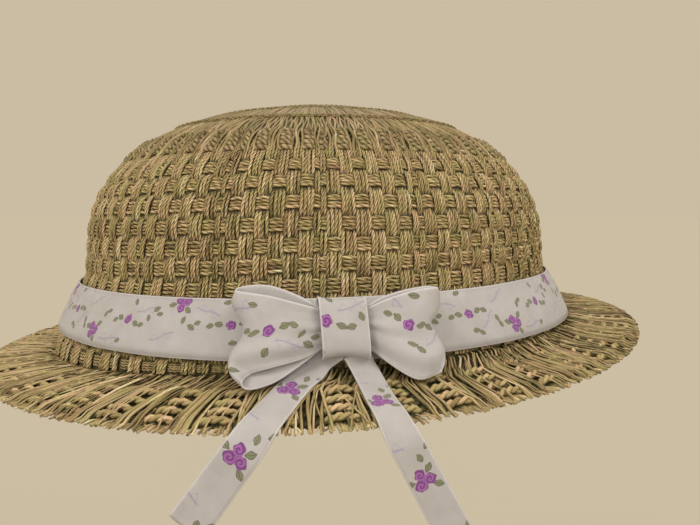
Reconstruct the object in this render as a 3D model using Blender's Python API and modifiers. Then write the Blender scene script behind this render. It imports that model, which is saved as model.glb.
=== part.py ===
"""A woven straw sun hat with a printed ribbon band and a bow, in the form it has on a head.

Metres, +Z up, the front of the hat faces -Y. The origin is the middle of the head opening, on the
crown's axis and level with the ribbon band's lower edge. Azimuths are degrees from the front, and
grow towards +X.
"""

import math

import bmesh
import bpy
import numpy as np

MM = 0.001

# Driving dimensions, in millimetres.
STRAW_WALL = 3.0
BRIM_WALL = 2.6
RIBBON_WALL = 1.0
SEAM_GAP = 0.3
TURN_STEPS = 64
WELD = 0.01
SHARP_ANGLE = 50

BAND_WIDTH = 15.4
BAND_FOOT_RADIUS = 98.0
BAND_TOP_RADIUS = 91.4
BAND_TILT = 0.026  # rise of the band towards +X, per unit of X
CROWN_LEAN = 0.014  # how far the crown's top leans towards +X, per unit of height

# The crown's outer line, from its apex down to the foot at the left side, where most of it shows.
CROWN_LINE = (
    ("radius", "height"),
    (0.0, 78.6),
    (17.0, 78.0),
    (33.0, 75.8),
    (48.0, 72.2),
    (60.5, 67.4),
    (69.0, 62.0),
    (77.0, 54.2),
    (82.8, 46.0),
    (86.4, 36.6),
    (87.7, 27.0),
    (88.8, 16.0),
    (92.9, 8.0),
    (96.5, 0.0),
    (99.0, -9.8),
)
CROWN_ROWS = 17
SKEW_FADE = (16.0, 40.0)  # heights between which the tilt of the hat's foot dies out

# How far the straw below the band shows: almost nothing on the right, most on the left.
STRIP_LEAST = 0.9
STRIP_POWER = 2.5

# The brim's rim, all the way round.
RIM = (
    ("azimuth", "radius", "height"),
    (0, 121.8, -9.4),
    (45, 119.4, -3.2),
    (90, 120.8, 1.2),
    (135, 122.4, -3.6),
    (180, 122.2, -11.0),
    (225, 121.2, -14.0),
    (270, 121.6, -14.0),
    (315, 122.6, -12.8),
)
# The brim's way down from the seam (0) to the rim (1).
BRIM_FALL = (
    ("out", "down"),
    (0.0, 0.0),
    (0.06, 0.02),
    (0.25, 0.17),
    (0.50, 0.43),
    (0.75, 0.71),
    (1.0, 1.0),
)
RIM_BULGE = 0.03  # how far the rounded edge stands out, as a share of the brim's width

# The bow, in its own frame: X across, Z up along the band, -Y away from the hat.
BOW_AZIMUTH = 5.0
BOW_HEIGHT = 8.2
BOW_LEAN = 20.0
BOW_WRAP_RADIUS = 150.0  # how the loops bend back round the hat

KNOT_HALF_WIDTH = 6.1
KNOT_HALF_HEIGHT = 8.4
KNOT_MIDDLE = (-0.9, -0.7)
KNOT_SLANT = 0.05  # how far the knot leans to the left, per unit of height
KNOT_DEPTHS = (0.5, 8.9)
KNOT_WAIST = 0.82
KNOT_SQUARENESS = 0.6  # 1 is an ellipse
KNOT_GRID = (28, 6)

# Each loop's ribbon, from the knot out along the front and back along the rear. The reach is a
# share of the way to the loop's end, the depth is how far it stands off the band, and the last two
# are the heights of the ribbon's edges.
LOOP_LEFT = (
    ("reach", "depth", "top", "bottom"),
    (0.045, 5.4, 3.4, -4.4),
    (0.21, 5.6, 3.9, -5.6),
    (0.42, 7.6, 5.2, -8.4),
    (0.70, 8.8, 7.3, -10.5),
    (0.92, 8.0, 8.7, -12.0),
    (1.00, 5.8, 9.9, -14.4),
    (0.93, 3.4, 11.4, -15.9),
    (0.70, 2.5, 11.5, -14.2),
    (0.42, 2.5, 8.4, -9.4),
    (0.21, 3.8, 4.5, -5.4),
    (0.045, 3.8, 4.2, -4.4),
)
LOOP_RIGHT = (
    ("reach", "depth", "top", "bottom"),
    (0.045, 5.4, 3.8, -4.2),
    (0.21, 5.6, 4.2, -4.6),
    (0.42, 7.6, 6.2, -9.8),
    (0.70, 8.8, 8.2, -14.4),
    (0.92, 8.0, 9.3, -13.6),
    (1.00, 5.8, 9.9, -12.4),
    (0.93, 3.4, 10.8, -12.2),
    (0.70, 2.5, 10.0, -12.4),
    (0.42, 2.5, 7.9, -9.2),
    (0.21, 3.8, 5.0, -5.4),
    (0.045, 3.8, 4.2, -4.4),
)
# Each loop's outer end, from its bottom edge (0) to its top edge (1).
LOOP_END_LEFT = (
    ("up", "reach"),
    (0.0, 26.6),
    (0.1, 29.2),
    (0.23, 29.9),
    (0.34, 29.1),
    (0.46, 27.0),
    (0.58, 26.1),
    (0.75, 28.1),
    (0.88, 29.2),
    (1.0, 28.2),
)
LOOP_END_RIGHT = (
    ("up", "reach"),
    (0.0, 22.9),
    (0.08, 24.0),
    (0.2, 24.7),
    (0.33, 24.6),
    (0.46, 23.3),
    (0.56, 22.1),
    (0.73, 24.4),
    (0.9, 25.2),
    (1.0, 24.8),
)
LOOP_GRID = (26, 10)  # faces along and across the ribbon
GATHER_DEPTH = 0.3
GATHERS = 2.0
# Where the loops reach down to the brim, it pushes them forward.
KICK_HEIGHT = -4.0
KICK = 0.5

# The tails: the middle line of each, its width, and how far its face looks up from straight out.
TAIL_LEFT = (
    ("azimuth", "radius", "height", "width", "facing"),
    (-0.8, 98.4, 1.8, 4.6, 24),
    (-1.0, 99.8, -1.0, 6.2, 40),
    (-1.6, 102.6, -2.9, 7.2, 68),
    (-2.8, 107.6, -4.5, 8.4, 73),
    (-4.3, 114.8, -6.6, 8.7, 71),
    (-5.4, 121.5, -8.3, 8.8, 56),
    (-6.7, 124.3, -12.2, 9.0, 18),
    (-9.4, 124.8, -20.5, 9.3, 3),
    (-13.3, 125.2, -32.6, 9.8, 0),
)
TAIL_RIGHT = (
    ("azimuth", "radius", "height", "width", "facing"),
    (7.2, 101.8, -0.4, 6.8, 42),
    (7.6, 104.2, -2.0, 7.0, 52),
    (7.9, 107.6, -3.5, 7.1, 62),
    (8.1, 114.8, -5.2, 7.3, 70),
    (8.4, 120.9, -6.7, 7.5, 56),
    (9.1, 123.9, -10.2, 7.8, 18),
    (12.0, 124.9, -22.0, 8.2, 3),
    (16.2, 125.0, -39.0, 8.8, 0),
)
TAIL_GRID = (22, 3)
TAIL_LOOK = 0.06  # the share of its length over which its way is judged

MATERIALS = (
    ("name", "colour", "roughness"),
    ("fine_straw", (0.42, 0.31, 0.15), 0.75),
    ("coarse_straw", (0.38, 0.31, 0.15), 0.75),
    ("printed_ribbon", (0.62, 0.55, 0.55), 0.6),
)


def rows_of(table):
    """A table's numbers, below its row of column names."""
    return np.array(table[1:], float)


def column(table, name):
    return rows_of(table)[:, table[0].index(name)]


def ease(share):
    """From 0 to 1 with a soft start and end."""
    return share * share * (3 - 2 * share)


def smooth(rows, where, turn=None):
    """Read rows at `where` along their first column, on a smooth curve that may close after `turn`."""
    knots, values = rows[:, 0], rows[:, 1:]
    if turn is not None:
        knots = np.concatenate([knots[-2:] - turn, knots, knots[:2] + turn])
        values = np.concatenate([values[-2:], values, values[:2]])
        where = np.mod(where, turn)
    slopes = np.gradient(values, knots, axis=0)
    where = np.clip(np.atleast_1d(where), knots[0], knots[-1])
    left = np.clip(np.searchsorted(knots, where, side="right") - 1, 0, len(knots) - 2)
    span = (knots[left + 1] - knots[left])[:, None]
    share = (where[:, None] - knots[left][:, None]) / span
    bend = ease(share)
    start = share * (1 - share) ** 2 * slopes[left] * span
    end = share * share * (share - 1) * slopes[left + 1] * span
    return values[left] * (1 - bend) + values[left + 1] * bend + start + end


def run_of(points):
    """How far along the line through `points` each of them is."""
    return np.concatenate([[0], np.cumsum(np.linalg.norm(np.diff(points, axis=0), axis=1))])


def along(points, count):
    """`count` points, evenly spaced on a smooth line through `points`."""
    run = run_of(points)
    return smooth(np.column_stack([run, points]), np.linspace(0, run[-1], count))


def azimuth_of(x, y):
    return math.atan2(x, -y)


def around(azimuth, radius, height):
    """A point in metres, from an azimuth in radians and millimetres."""
    return (MM * radius * math.sin(azimuth), -MM * radius * math.cos(azimuth), MM * height)


def skew_share(height):
    """1 at the hat's foot, 0 above the band, where the crown stands straight."""
    low, high = SKEW_FADE
    return ease(min(max((high - height) / (high - low), 0), 1))


def strip_depth(azimuth):
    """How far below the band the crown meets the brim."""
    most = -column(CROWN_LINE, "height")[-1]
    left = (1 - math.sin(azimuth)) / 2
    return STRIP_LEAST + (most - STRIP_LEAST) * left**STRIP_POWER


def foot_radius(azimuth):
    """The crown's outer radius at its foot, which flares where it reaches lower."""
    band_level, foot = column(CROWN_LINE, "radius")[-2:]
    drop = column(CROWN_LINE, "height")[-1]
    return band_level + (foot - band_level) * strip_depth(azimuth) / -drop


def foot_height(azimuth):
    """How high the seam of crown and brim lies."""
    return BAND_TILT * foot_radius(azimuth) * math.sin(azimuth) - strip_depth(azimuth)


def material(name, colour, roughness):
    made = bpy.data.materials.new(name)
    made.use_nodes = True
    shader = made.node_tree.nodes["Principled BSDF"]
    shader.inputs["Base Color"].default_value = (*colour, 1)
    shader.inputs["Roughness"].default_value = roughness
    shader.inputs["Metallic"].default_value = 0
    return made


def finish(obj, home, look):
    """Put an object in its collection, with its one material and smooth shading."""
    for old in list(obj.users_collection):
        old.objects.unlink(obj)
    home.objects.link(obj)
    obj.data.materials.clear()
    obj.data.materials.append(look)
    obj.data.shade_smooth()
    obj.data.set_sharp_from_angle(angle=math.radians(SHARP_ANGLE))
    return obj


def thicken(obj, wall, offset):
    solid = obj.modifiers.new("wall", "SOLIDIFY")
    solid.thickness = wall * MM
    solid.offset = offset


def turned(name, line):
    """The mesh of an open line of (radius, height), turned round the Z axis."""
    profile = bpy.data.meshes.new(name)
    points = [(radius * MM, 0, height * MM) for radius, height in line]
    profile.from_pydata(points, [(i, i + 1) for i in range(len(points) - 1)], [])
    obj = bpy.data.objects.new(name, profile)
    bpy.context.scene.collection.objects.link(obj)
    screw = obj.modifiers.new("turn", "SCREW")
    screw.axis = "Z"
    screw.steps = TURN_STEPS
    screw.render_steps = TURN_STEPS
    screw.use_merge_vertices = True
    screw.merge_threshold = WELD * MM
    bpy.context.view_layer.update()
    turned_obj = obj.evaluated_get(bpy.context.evaluated_depsgraph_get())
    mesh = bpy.data.meshes.new_from_object(turned_obj)
    bpy.data.objects.remove(obj)
    mesh.name = name
    return mesh


def strip_mesh(name, grid, shape, ring=False):
    """A ribbon: a grid whose corner (along, across), each 0 to 1, goes to shape(along, across)."""
    bm = bmesh.new()
    bmesh.ops.create_grid(bm, x_segments=grid[0], y_segments=grid[1], size=0.5)
    for vert in bm.verts:
        vert.co = [MM * value for value in shape(vert.co.x + 0.5, vert.co.y + 0.5)]
    if ring:
        bmesh.ops.remove_doubles(bm, verts=bm.verts, dist=WELD * MM)
    mesh = bpy.data.meshes.new(name)
    bm.to_mesh(mesh)
    bm.free()
    return mesh


def crown_profile():
    """The crown's wall in section: down its outer face, across the foot and up its inner face."""
    outer = along(rows_of(CROWN_LINE), CROWN_ROWS)
    way = np.gradient(outer, axis=0)
    way /= np.linalg.norm(way, axis=1)[:, None]
    inner = outer + STRAW_WALL * np.column_stack([way[:, 1], -way[:, 0]])
    inner[0] = (0, outer[0][1] - STRAW_WALL)
    inner[-1] = (outer[-1][0] - STRAW_WALL, outer[-1][1])
    return [*outer, *inner[::-1]]


def make_crown(home, look):
    """A turned dome whose foot reaches down to the seam with the brim, lowest on the left."""
    foot, drop = rows_of(CROWN_LINE)[-1]
    mesh = turned("crown", crown_profile())
    for vert in mesh.vertices:
        x, y, height = (value / MM for value in vert.co)
        azimuth = azimuth_of(x, y)
        radius = math.hypot(x, y)
        if height < 0:
            radius -= (foot - foot_radius(azimuth)) * height / drop
            height *= strip_depth(azimuth) / -drop
        height += BAND_TILT * radius * math.sin(azimuth) * skew_share(height)
        vert.co = around(azimuth, radius, height)
        vert.co.x += MM * CROWN_LEAN * max(height, 0)
    return finish(bpy.data.objects.new("crown", mesh), home, look)


def make_brim(home, look):
    """A turned ring that meets the crown's foot all round and droops to its rim."""
    base = 1.0  # the turned ring's inner radius, where `out` is 0
    top = [(base + out, 0) for out in column(BRIM_FALL, "out")]
    bottom = [(radius, -BRIM_WALL) for radius, _ in reversed(top)]
    edge = (base + 1 + RIM_BULGE, -BRIM_WALL / 2)
    seam_out = column(BRIM_FALL, "out")[1]
    mesh = turned("brim", [*top, edge, *bottom, top[0]])
    for vert in mesh.vertices:
        x, y, layer = (value / MM for value in vert.co)
        azimuth = azimuth_of(x, y)
        out = math.hypot(x, y) - base
        seam = foot_radius(azimuth)
        rim, rim_height = smooth(rows_of(RIM), math.degrees(azimuth), 360)[0]
        if out < seam_out:
            radius = seam - STRAW_WALL * (1 - out / seam_out)
        else:
            radius = seam + (rim - seam) * (out - seam_out) / (1 - seam_out)
        start = foot_height(azimuth) - SEAM_GAP
        down = smooth(rows_of(BRIM_FALL), out)[0][0]
        vert.co = around(azimuth, radius, start + (rim_height - start) * down + layer)
    return finish(bpy.data.objects.new("brim", mesh), home, look)


def band_radius(height):
    share = height / BAND_WIDTH
    return BAND_FOOT_RADIUS + (BAND_TOP_RADIUS - BAND_FOOT_RADIUS) * share


def make_band(home, look):
    """The ribbon: a slightly conical ring, tilted with the foot of the hat."""
    heights = (BAND_WIDTH, BAND_WIDTH / 2, 0)
    mesh = turned("hat_band", [(band_radius(height), height) for height in heights])
    for vert in mesh.vertices:
        vert.co.z += BAND_TILT * vert.co.x
    band = finish(bpy.data.objects.new("hat_band", mesh), home, look)
    thicken(band, RIBBON_WALL, -1)
    return band


def make_bow_frame(home):
    """The empty that carries the bow, on the band's outer face."""
    frame = bpy.data.objects.new("bow_frame", None)
    azimuth = math.radians(BOW_AZIMUTH)
    frame.location = around(azimuth, band_radius(BOW_HEIGHT), BOW_HEIGHT)
    frame.rotation_euler = (-math.radians(BOW_LEAN), 0, azimuth)
    home.objects.link(frame)
    return frame


def loop_point(side, line, end, along_ribbon, across):
    """A point of a loop's ribbon. `side` is -1 on the left and 1 on the right."""
    run = rows_of(line)
    steps = np.linspace(0, 1, len(run))
    reach, depth, top, bottom = smooth(np.column_stack([steps, run]), along_ribbon)[0]
    x = reach * smooth(rows_of(end), across)[0][0]
    height = bottom + (top - bottom) * across
    gather = GATHER_DEPTH * (1 - reach) * math.cos(2 * math.pi * GATHERS * across)
    wrap = x * x / (2 * BOW_WRAP_RADIUS)
    depth += KICK * max(KICK_HEIGHT - height, 0)
    return side * x, wrap - depth + gather, height


def make_loop(name, side, line, end, frame, home, look):
    mesh = strip_mesh(name, LOOP_GRID, lambda run, across: loop_point(side, line, end, run, across))
    loop = finish(bpy.data.objects.new(name, mesh), home, look)
    loop.parent = frame
    thicken(loop, RIBBON_WALL, 0)
    return loop


def knot_point(turn, across):
    """A point of the ribbon wrapped round the pinch of the bow."""
    near, far = KNOT_DEPTHS
    angle = -2 * math.pi * turn
    sideways = 2 * across - 1
    waist = KNOT_WAIST + (1 - KNOT_WAIST) * sideways**2
    bulge = waist * math.copysign(abs(math.cos(angle)) ** KNOT_SQUARENESS, math.cos(angle))
    rise = waist * math.copysign(abs(math.sin(angle)) ** KNOT_SQUARENESS, math.sin(angle))
    depth = (near + far) / 2 + (far - near) / 2 * bulge
    x, height = KNOT_MIDDLE
    height += KNOT_HALF_HEIGHT * rise
    return x + KNOT_HALF_WIDTH * sideways - KNOT_SLANT * height, -depth, height


def make_knot(frame, home, look):
    mesh = strip_mesh("bow_knot", KNOT_GRID, knot_point, ring=True)
    knot = finish(bpy.data.objects.new("bow_knot", mesh), home, look)
    knot.parent = frame
    thicken(knot, RIBBON_WALL, -1)
    return knot


def tail_middle(line, share):
    """Where a tail's middle line is, which way its face looks, and its width there."""
    azimuths = np.radians(column(line, "azimuth"))
    heights = column(line, "height")
    spots = [around(*row) for row in zip(azimuths, column(line, "radius"), heights)]
    spots = np.array(spots) / MM
    run = run_of(spots)
    rest = np.column_stack([azimuths, column(line, "width"), np.radians(column(line, "facing"))])
    found = smooth(np.column_stack([run, spots, rest]), share * run[-1])[0]
    azimuth, width, tip = found[3:]
    face = (math.sin(azimuth) * math.cos(tip), -math.cos(azimuth) * math.cos(tip), math.sin(tip))
    return found[:3], np.array(face), width


def tail_point(line, along_ribbon, across):
    """A point of a tail: its middle line, spread sideways across the way it runs."""
    place, face, width = tail_middle(line, along_ribbon)
    ahead = tail_middle(line, min(along_ribbon + TAIL_LOOK, 1))[0]
    behind = tail_middle(line, max(along_ribbon - TAIL_LOOK, 0))[0]
    side = np.cross(ahead - behind, face)
    return place + side / np.linalg.norm(side) * width * (across - 0.5)


def make_tail(name, line, home, look):
    mesh = strip_mesh(name, TAIL_GRID, lambda run, across: tail_point(line, run, across))
    tail = finish(bpy.data.objects.new(name, mesh), home, look)
    thicken(tail, RIBBON_WALL, 0)
    return tail


def main():
    for obj in list(bpy.data.objects):
        bpy.data.objects.remove(obj)
    home = bpy.data.collections.new("sun_hat")
    bpy.context.scene.collection.children.link(home)
    fine_straw, coarse_straw, ribbon = (material(*row) for row in MATERIALS[1:])
    make_crown(home, fine_straw)
    make_brim(home, coarse_straw)
    make_band(home, ribbon)
    frame = make_bow_frame(home)
    make_loop("bow_loop_left", -1, LOOP_LEFT, LOOP_END_LEFT, frame, home, ribbon)
    make_loop("bow_loop_right", 1, LOOP_RIGHT, LOOP_END_RIGHT, frame, home, ribbon)
    make_knot(frame, home, ribbon)
    make_tail("bow_tail_left", TAIL_LEFT, home, ribbon)
    make_tail("bow_tail_right", TAIL_RIGHT, home, ribbon)


main()
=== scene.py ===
"""The looks of the woven straw sun hat: cord by cord straw, and a printed cotton ribbon.

Lengths are millimetres until a mesh is made. Azimuths are degrees from the front (-Y) and grow
towards +X. The crown and the brim are woven on the same surfaces as the solids in the frame.
"""

import math

import bpy
import numpy as np
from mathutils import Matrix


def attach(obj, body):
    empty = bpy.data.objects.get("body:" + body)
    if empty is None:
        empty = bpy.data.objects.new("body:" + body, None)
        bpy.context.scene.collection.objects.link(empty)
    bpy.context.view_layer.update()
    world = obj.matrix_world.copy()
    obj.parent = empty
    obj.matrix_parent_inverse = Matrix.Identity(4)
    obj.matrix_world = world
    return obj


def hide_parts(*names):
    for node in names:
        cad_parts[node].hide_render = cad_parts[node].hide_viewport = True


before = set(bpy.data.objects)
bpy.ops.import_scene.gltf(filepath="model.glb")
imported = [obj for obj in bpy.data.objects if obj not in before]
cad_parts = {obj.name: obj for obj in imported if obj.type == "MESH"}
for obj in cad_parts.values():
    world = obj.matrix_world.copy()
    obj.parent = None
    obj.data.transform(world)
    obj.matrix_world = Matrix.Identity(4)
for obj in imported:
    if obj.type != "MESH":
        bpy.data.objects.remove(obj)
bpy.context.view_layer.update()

MM = 0.001
SEED = 11
CORD_SIDES = 5
CORD_TURN = 0.5 / CORD_SIDES  # of a turn, from a cord's side to where its UVs start
# Half the steps over which a surface's slope is found: in radians round the hat, in millimetres up
# the crown, and as a share of the brim. The brim's runs inwards, so that its outward way is up.
NUDGE = 0.004
CROWN_NUDGE = 0.8
BRIM_NUDGE = -0.02

# The hat's surfaces, as in the solids.
STRAW_WALL = 3.0
BRIM_WALL = 2.6
CROWN_MIDDLE = -STRAW_WALL / 2  # from a surface's outer face
BRIM_MIDDLE = -BRIM_WALL / 2
SEAM_GAP = 0.3
BAND_WIDTH = 15.4
BAND_FOOT_RADIUS = 98.0
BAND_TOP_RADIUS = 91.4
BAND_TILT = 0.026
CROWN_LEAN = 0.014
CROWN_LINE = (
    ("radius", "height"),
    (0.0, 78.6),
    (17.0, 78.0),
    (33.0, 75.8),
    (48.0, 72.2),
    (60.5, 67.4),
    (69.0, 62.0),
    (77.0, 54.2),
    (82.8, 46.0),
    (86.4, 36.6),
    (87.7, 27.0),
    (88.8, 16.0),
    (92.9, 8.0),
    (96.5, 0.0),
    (99.0, -9.8),
)
SKEW_FADE = (16.0, 40.0)
STRIP_LEAST = 0.9
STRIP_POWER = 2.5
RIM = (
    ("azimuth", "radius", "height"),
    (0, 121.8, -9.4),
    (45, 119.4, -3.2),
    (90, 120.8, 1.2),
    (135, 122.4, -3.6),
    (180, 122.2, -11.0),
    (225, 121.2, -14.0),
    (270, 121.6, -14.0),
    (315, 122.6, -12.8),
)
BRIM_FALL = (
    ("out", "down"),
    (0.0, 0.0),
    (0.06, 0.02),
    (0.25, 0.17),
    (0.50, 0.43),
    (0.75, 0.71),
    (1.0, 1.0),
)

# The crown's weave. A section of columns repeats round the crown: its narrow pair, then wide ones.
SECTIONS = 19
PAIR_AZIMUTH = 1.0
COLUMNS = (
    ("cords", "width"),
    (2, 1.8),
    (4, 4.25),
    (4, 4.25),
    (4, 4.25),
    (4, 4.25),
    (4, 4.25),
    (4, 4.25),
    (2, 1.8),
)
ROW_HEIGHTS = (18.7, 24.6, 30.0, 35.9, 42.1, 48.2, 53.1)  # on the crown's line, rows 0 to 6
ROW_PITCH = 6.1
ROWS_BELOW = 4
ROW_CORDS = 4
ROW_DROP = 3.2
ROW_DROP_START = 8.0
WEFT_RISE = 0.62
ROW_SPACING = 0.95
TOP_ROW_HEIGHT = 60.8
TOP_ROW_CORDS = 5
TOP_ROW_SPACING = 2.05
WEAVE_RISE = 0.74
WARP_LIFT = 0.12
WARP_WIDTH = 0.51  # a warp cord's radius, as a share of the room it has
WEAVE_FLATNESS = 0.75
CORD_RADIUS = 0.6
WEFT_RADIUS = 0.53
FOOT_RUN = -10.2
FOOT_ROW_RUN = -6.5
FOOT_ROW_SPACING = 1.2
GRASS_RUN = 5.5  # how far below the top row its straight grass starts
GRASS_SPLAY = 0.4
GRASS_FADE = 3.0
GRASS_WAVE = 2.6
WARP_SHIFT = 0.45  # how far above or below its rows a warp's crests may stand
WEAVE_END = 9.0  # how far below the ring the weave's wave has died away, and over what run
WEAVE_FADE = 6.0
FLAT_GAP = (0.2, 0.62)  # shares of the gap below the top row, where all the warps lie flat
FLAT_SOFT = 0.14
FLAT_RISE = 0.45
CORD_JITTER = 0.05
CORD_WANDER = 0.06
WEFT_DRIFT = 3  # how strongly a weft cord strays up and down
WEFT_PULL = 0.10  # how far a row's cords spread in the middle of each column
TOP_ROW_RISE = 0.8
LEAST_SQUEEZE = 0.2  # how thin the cords below the band can get, as a share of their thickness
RING_RADIUS = 55.0  # where the weave ends and the top's fine strands start
RING_DEPTH = 0.75
RING_STEPS = 400
RING_WAVES = 80
RING_SWING = 0.35
RING_SIDE = 0.55  # how far a ring's two cords stand from its middle, in their radii
RING_NUDGE = 0.6
RINGS = (
    ("radius", "size"),
    (RING_RADIUS + 0.2, 0.36),
    (40.0, 0.4),
    (24.0, 0.4),
    (9.5, 0.4),
)
TOP_STRANDS = 640
TOP_STEPS = 9
TOP_STOPS = (9.0, 24.0, 40.0)  # radii where every fourth, every second and the other strands stop
TOP_OVERLAP = 0.8  # how far the top's strands start below the ring
TOP_DEPTH = 1.0
TOP_WANDER = 0.002
TOP_WIDTH = 1.05  # a top strand's radius, as a share of the room it has
TOP_RADII = (0.2, 0.42)  # the least and the most
COIL_TURNS = 11
COIL_STEPS = 560
COIL_RADII = (0.6, 9.2)
COIL_SIZE = 0.44
LAID_JITTER = 0.12  # how unevenly the top's strands and the brim's loose ones lie
WARP_STEPS = 57
WEFT_STEPS = 3  # points a column

# The brim's weave.
BUNDLES = 106
BUNDLE_STRANDS = 9
ROPE_SHARES = (0.36, 0.53, 0.68, 0.82)  # of the way from the seam to the rim
ROPE_RADIUS = 1.05
ROPE_LAY = 4.7
ROPE_RISE = 0.85
ROPE_STEPS = 900
ROPE_LIFT = 0.25
ROPE_STRAY = 0.006  # how far a rope strays to and fro, as a share of the brim
ROPE_STRAYS = 17  # times round the brim
ROPE_SHIFT = 40  # so that the ropes don't stray together
PLY_OFFSET = 0.48  # of the rope's radius, as is the next
PLY_RADIUS = 0.60
BRIM_SWEEP = (
    ("share", "left", "right"),  # degrees
    (0.0, 3.0, 3.0),
    (0.2, 1.4, 1.2),
    (0.4, 0.0, -0.2),
    (0.7, -1.2, 0.6),
    (1.0, -2.0, 1.7),
)
BRIM_STEPS = 18
BRIM_START = -0.11
BUNDLE_SPREAD = 0.112
STRAND_LENGTHS = (-0.012, 0.008)  # how much shorter or longer a strand is, as a share
STRAND_SPREAD = 0.05
BUNDLE_WIDTHS = (0.82, 1.12)
STRAY_SHARE = 0.2  # how many of the strands are strays, which lean more
STRAY_LEAN = 0.55
STRAND_LEAN = 0.16
LEAN_MIDDLE = 0.4  # where a strand that leans crosses its own line
STRAND_BOW = 0.05
BOW_WAVES = (0.8, 1.6)  # half waves of a strand's bow, from the seam to the rim
LIFT_START = 0.15  # how far before the first rope a bundle starts to go over or under
LIFT_SOFT = 0.11
LIFT_END = 0.02  # how far past the last rope it starts to come back
LIFT_END_SOFT = 0.08
BUNDLE_MOUND = 0.35
SEAM_LIFT = 0.7
SEAM_LIFT_SHARE = 0.1
SEAM_SINK = 1.0
SEAM_SINK_SHARE = 0.28
STRAND_LIFT = 0.2
STRAND_JITTER = 0.14
STRAND_WIDTHS = (0.78, 0.95)
COVER_STRANDS = 1400
COVER_STEPS = 10
COVER_WIDTH = 0.7
COVER_START = 0.2
COVER_WHOLE = 0.6  # how many of the loose strands reach the rim
COVER_SHORT = 0.8  # where the others end
COVER_LEAN = 2.6  # degrees, as is the next
COVER_SWEEP = 1.5
COVER_SOFT = 0.12
COVER_LIFT = 0.5
COVER_ARCH = 1.1
RIM_STRANDS = 420
RIM_STEPS = 5
RIM_STARTS = (0.72, 0.84)
RIM_ENDS = (0.965, 1.0)
RIM_LEAN = 5  # degrees
RIM_SINK = 0.3
RIM_RISE = 0.7
RIM_SOFT = 0.1
# Painted shade, which darkens the brim's straw at the right.
BRIM_SHADE = 0.28  # how much darker the straw is at the right
COVER_SHARE = (  # how many of the strands that lie over all the rest are kept
    ("azimuth", "kept"),
    (-180, 0.8),
    (-60, 0.9),
    (-38, 0.6),
    (-25, 0.12),
    (20, 0.08),
    (38, 0.45),
    (60, 0.95),
    (180, 0.8),
)
STRAND_RISE = 0.95
SEAM_SHARE = -0.07  # where the strip behind the seam stands, as a share of the brim
SEAM_HEIGHTS = (-1.8, 1.4)
GROUND_HOLE = 0.5  # how far from the crown's middle its ground stops
GROUND_END = 0.87  # where on the brim its ground stops
GROUND_SINK = 0.35


def rows_of(table):
    """A table's numbers, below its row of column names."""
    return np.array(table[1:], float)


def column(table, name):
    return rows_of(table)[:, table[0].index(name)]


def table_at(table, known, wanted, where):
    """One column of a table at places in another one, straight between its rows."""
    return np.interp(where, column(table, known), column(table, wanted))


def ease(share):
    """From 0 to 1 with a soft start and end."""
    share = np.clip(share, 0, 1)
    return share * share * (3 - 2 * share)


def smooth(rows, where, turn=None):
    """Read rows at `where` along their first column, on a smooth curve.

    The curve closes after `turn`, where that is given.
    """
    knots, values = rows[:, 0], rows[:, 1:]
    if turn is not None:
        knots = np.concatenate([knots[-2:] - turn, knots, knots[:2] + turn])
        values = np.concatenate([values[-2:], values, values[:2]])
        where = np.mod(where, turn)
    slopes = np.gradient(values, knots, axis=0)
    where = np.clip(np.atleast_1d(where), knots[0], knots[-1])
    left = np.clip(np.searchsorted(knots, where, side="right") - 1, 0, len(knots) - 2)
    span = (knots[left + 1] - knots[left])[:, None]
    share = (where[:, None] - knots[left][:, None]) / span
    bend = ease(share)
    start = share * (1 - share) ** 2 * slopes[left] * span
    end = share * share * (share - 1) * slopes[left + 1] * span
    return values[left] * (1 - bend) + values[left + 1] * bend + start + end


def full_turn(count):
    return np.linspace(0, 2 * math.pi, count, endpoint=False)


def run_of(points):
    """How far along the line through `points` each of them is."""
    return np.concatenate([[0], np.cumsum(np.linalg.norm(np.diff(points, axis=0), axis=1))])


def normalised(vectors):
    return vectors / np.maximum(np.linalg.norm(vectors, axis=-1, keepdims=True), 1e-9)


# The crown's outer line, from the foot up, by its run from the band's lower edge.
LINE = rows_of(CROWN_LINE)
LINE = smooth(np.column_stack([run_of(LINE), LINE]), np.linspace(0, run_of(LINE)[-1], 600))[::-1]
LINE_RUN = run_of(LINE)
LINE_RUN -= np.interp(0, LINE[:, 1], LINE_RUN)
LINE_OUT = normalised(np.gradient(LINE, axis=0))
LINE_OUT = np.column_stack([LINE_OUT[:, 1], -LINE_OUT[:, 0]])
APEX_RUN = LINE_RUN[-1]


def run_at_height(height):
    return float(np.interp(height, LINE[:, 1], LINE_RUN))


def run_at_radius(radius):
    upper = LINE[:, 1] > SKEW_FADE[0]
    return float(np.interp(-radius, -LINE[upper, 0], LINE_RUN[upper]))


def around(azimuth, radius, height):
    """Points from azimuths in radians."""
    return np.stack([radius * np.sin(azimuth), -radius * np.cos(azimuth), height], axis=-1)


def strip_depth(azimuth):
    """How far below the band the crown meets the brim."""
    most = -column(CROWN_LINE, "height")[-1]
    return STRIP_LEAST + (most - STRIP_LEAST) * ((1 - np.sin(azimuth)) / 2) ** STRIP_POWER


def foot_radius(azimuth):
    band_level, foot = column(CROWN_LINE, "radius")[-2:]
    drop = column(CROWN_LINE, "height")[-1]
    return band_level + (foot - band_level) * strip_depth(azimuth) / -drop


def foot_height(azimuth):
    return BAND_TILT * foot_radius(azimuth) * np.sin(azimuth) - strip_depth(azimuth)


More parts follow.
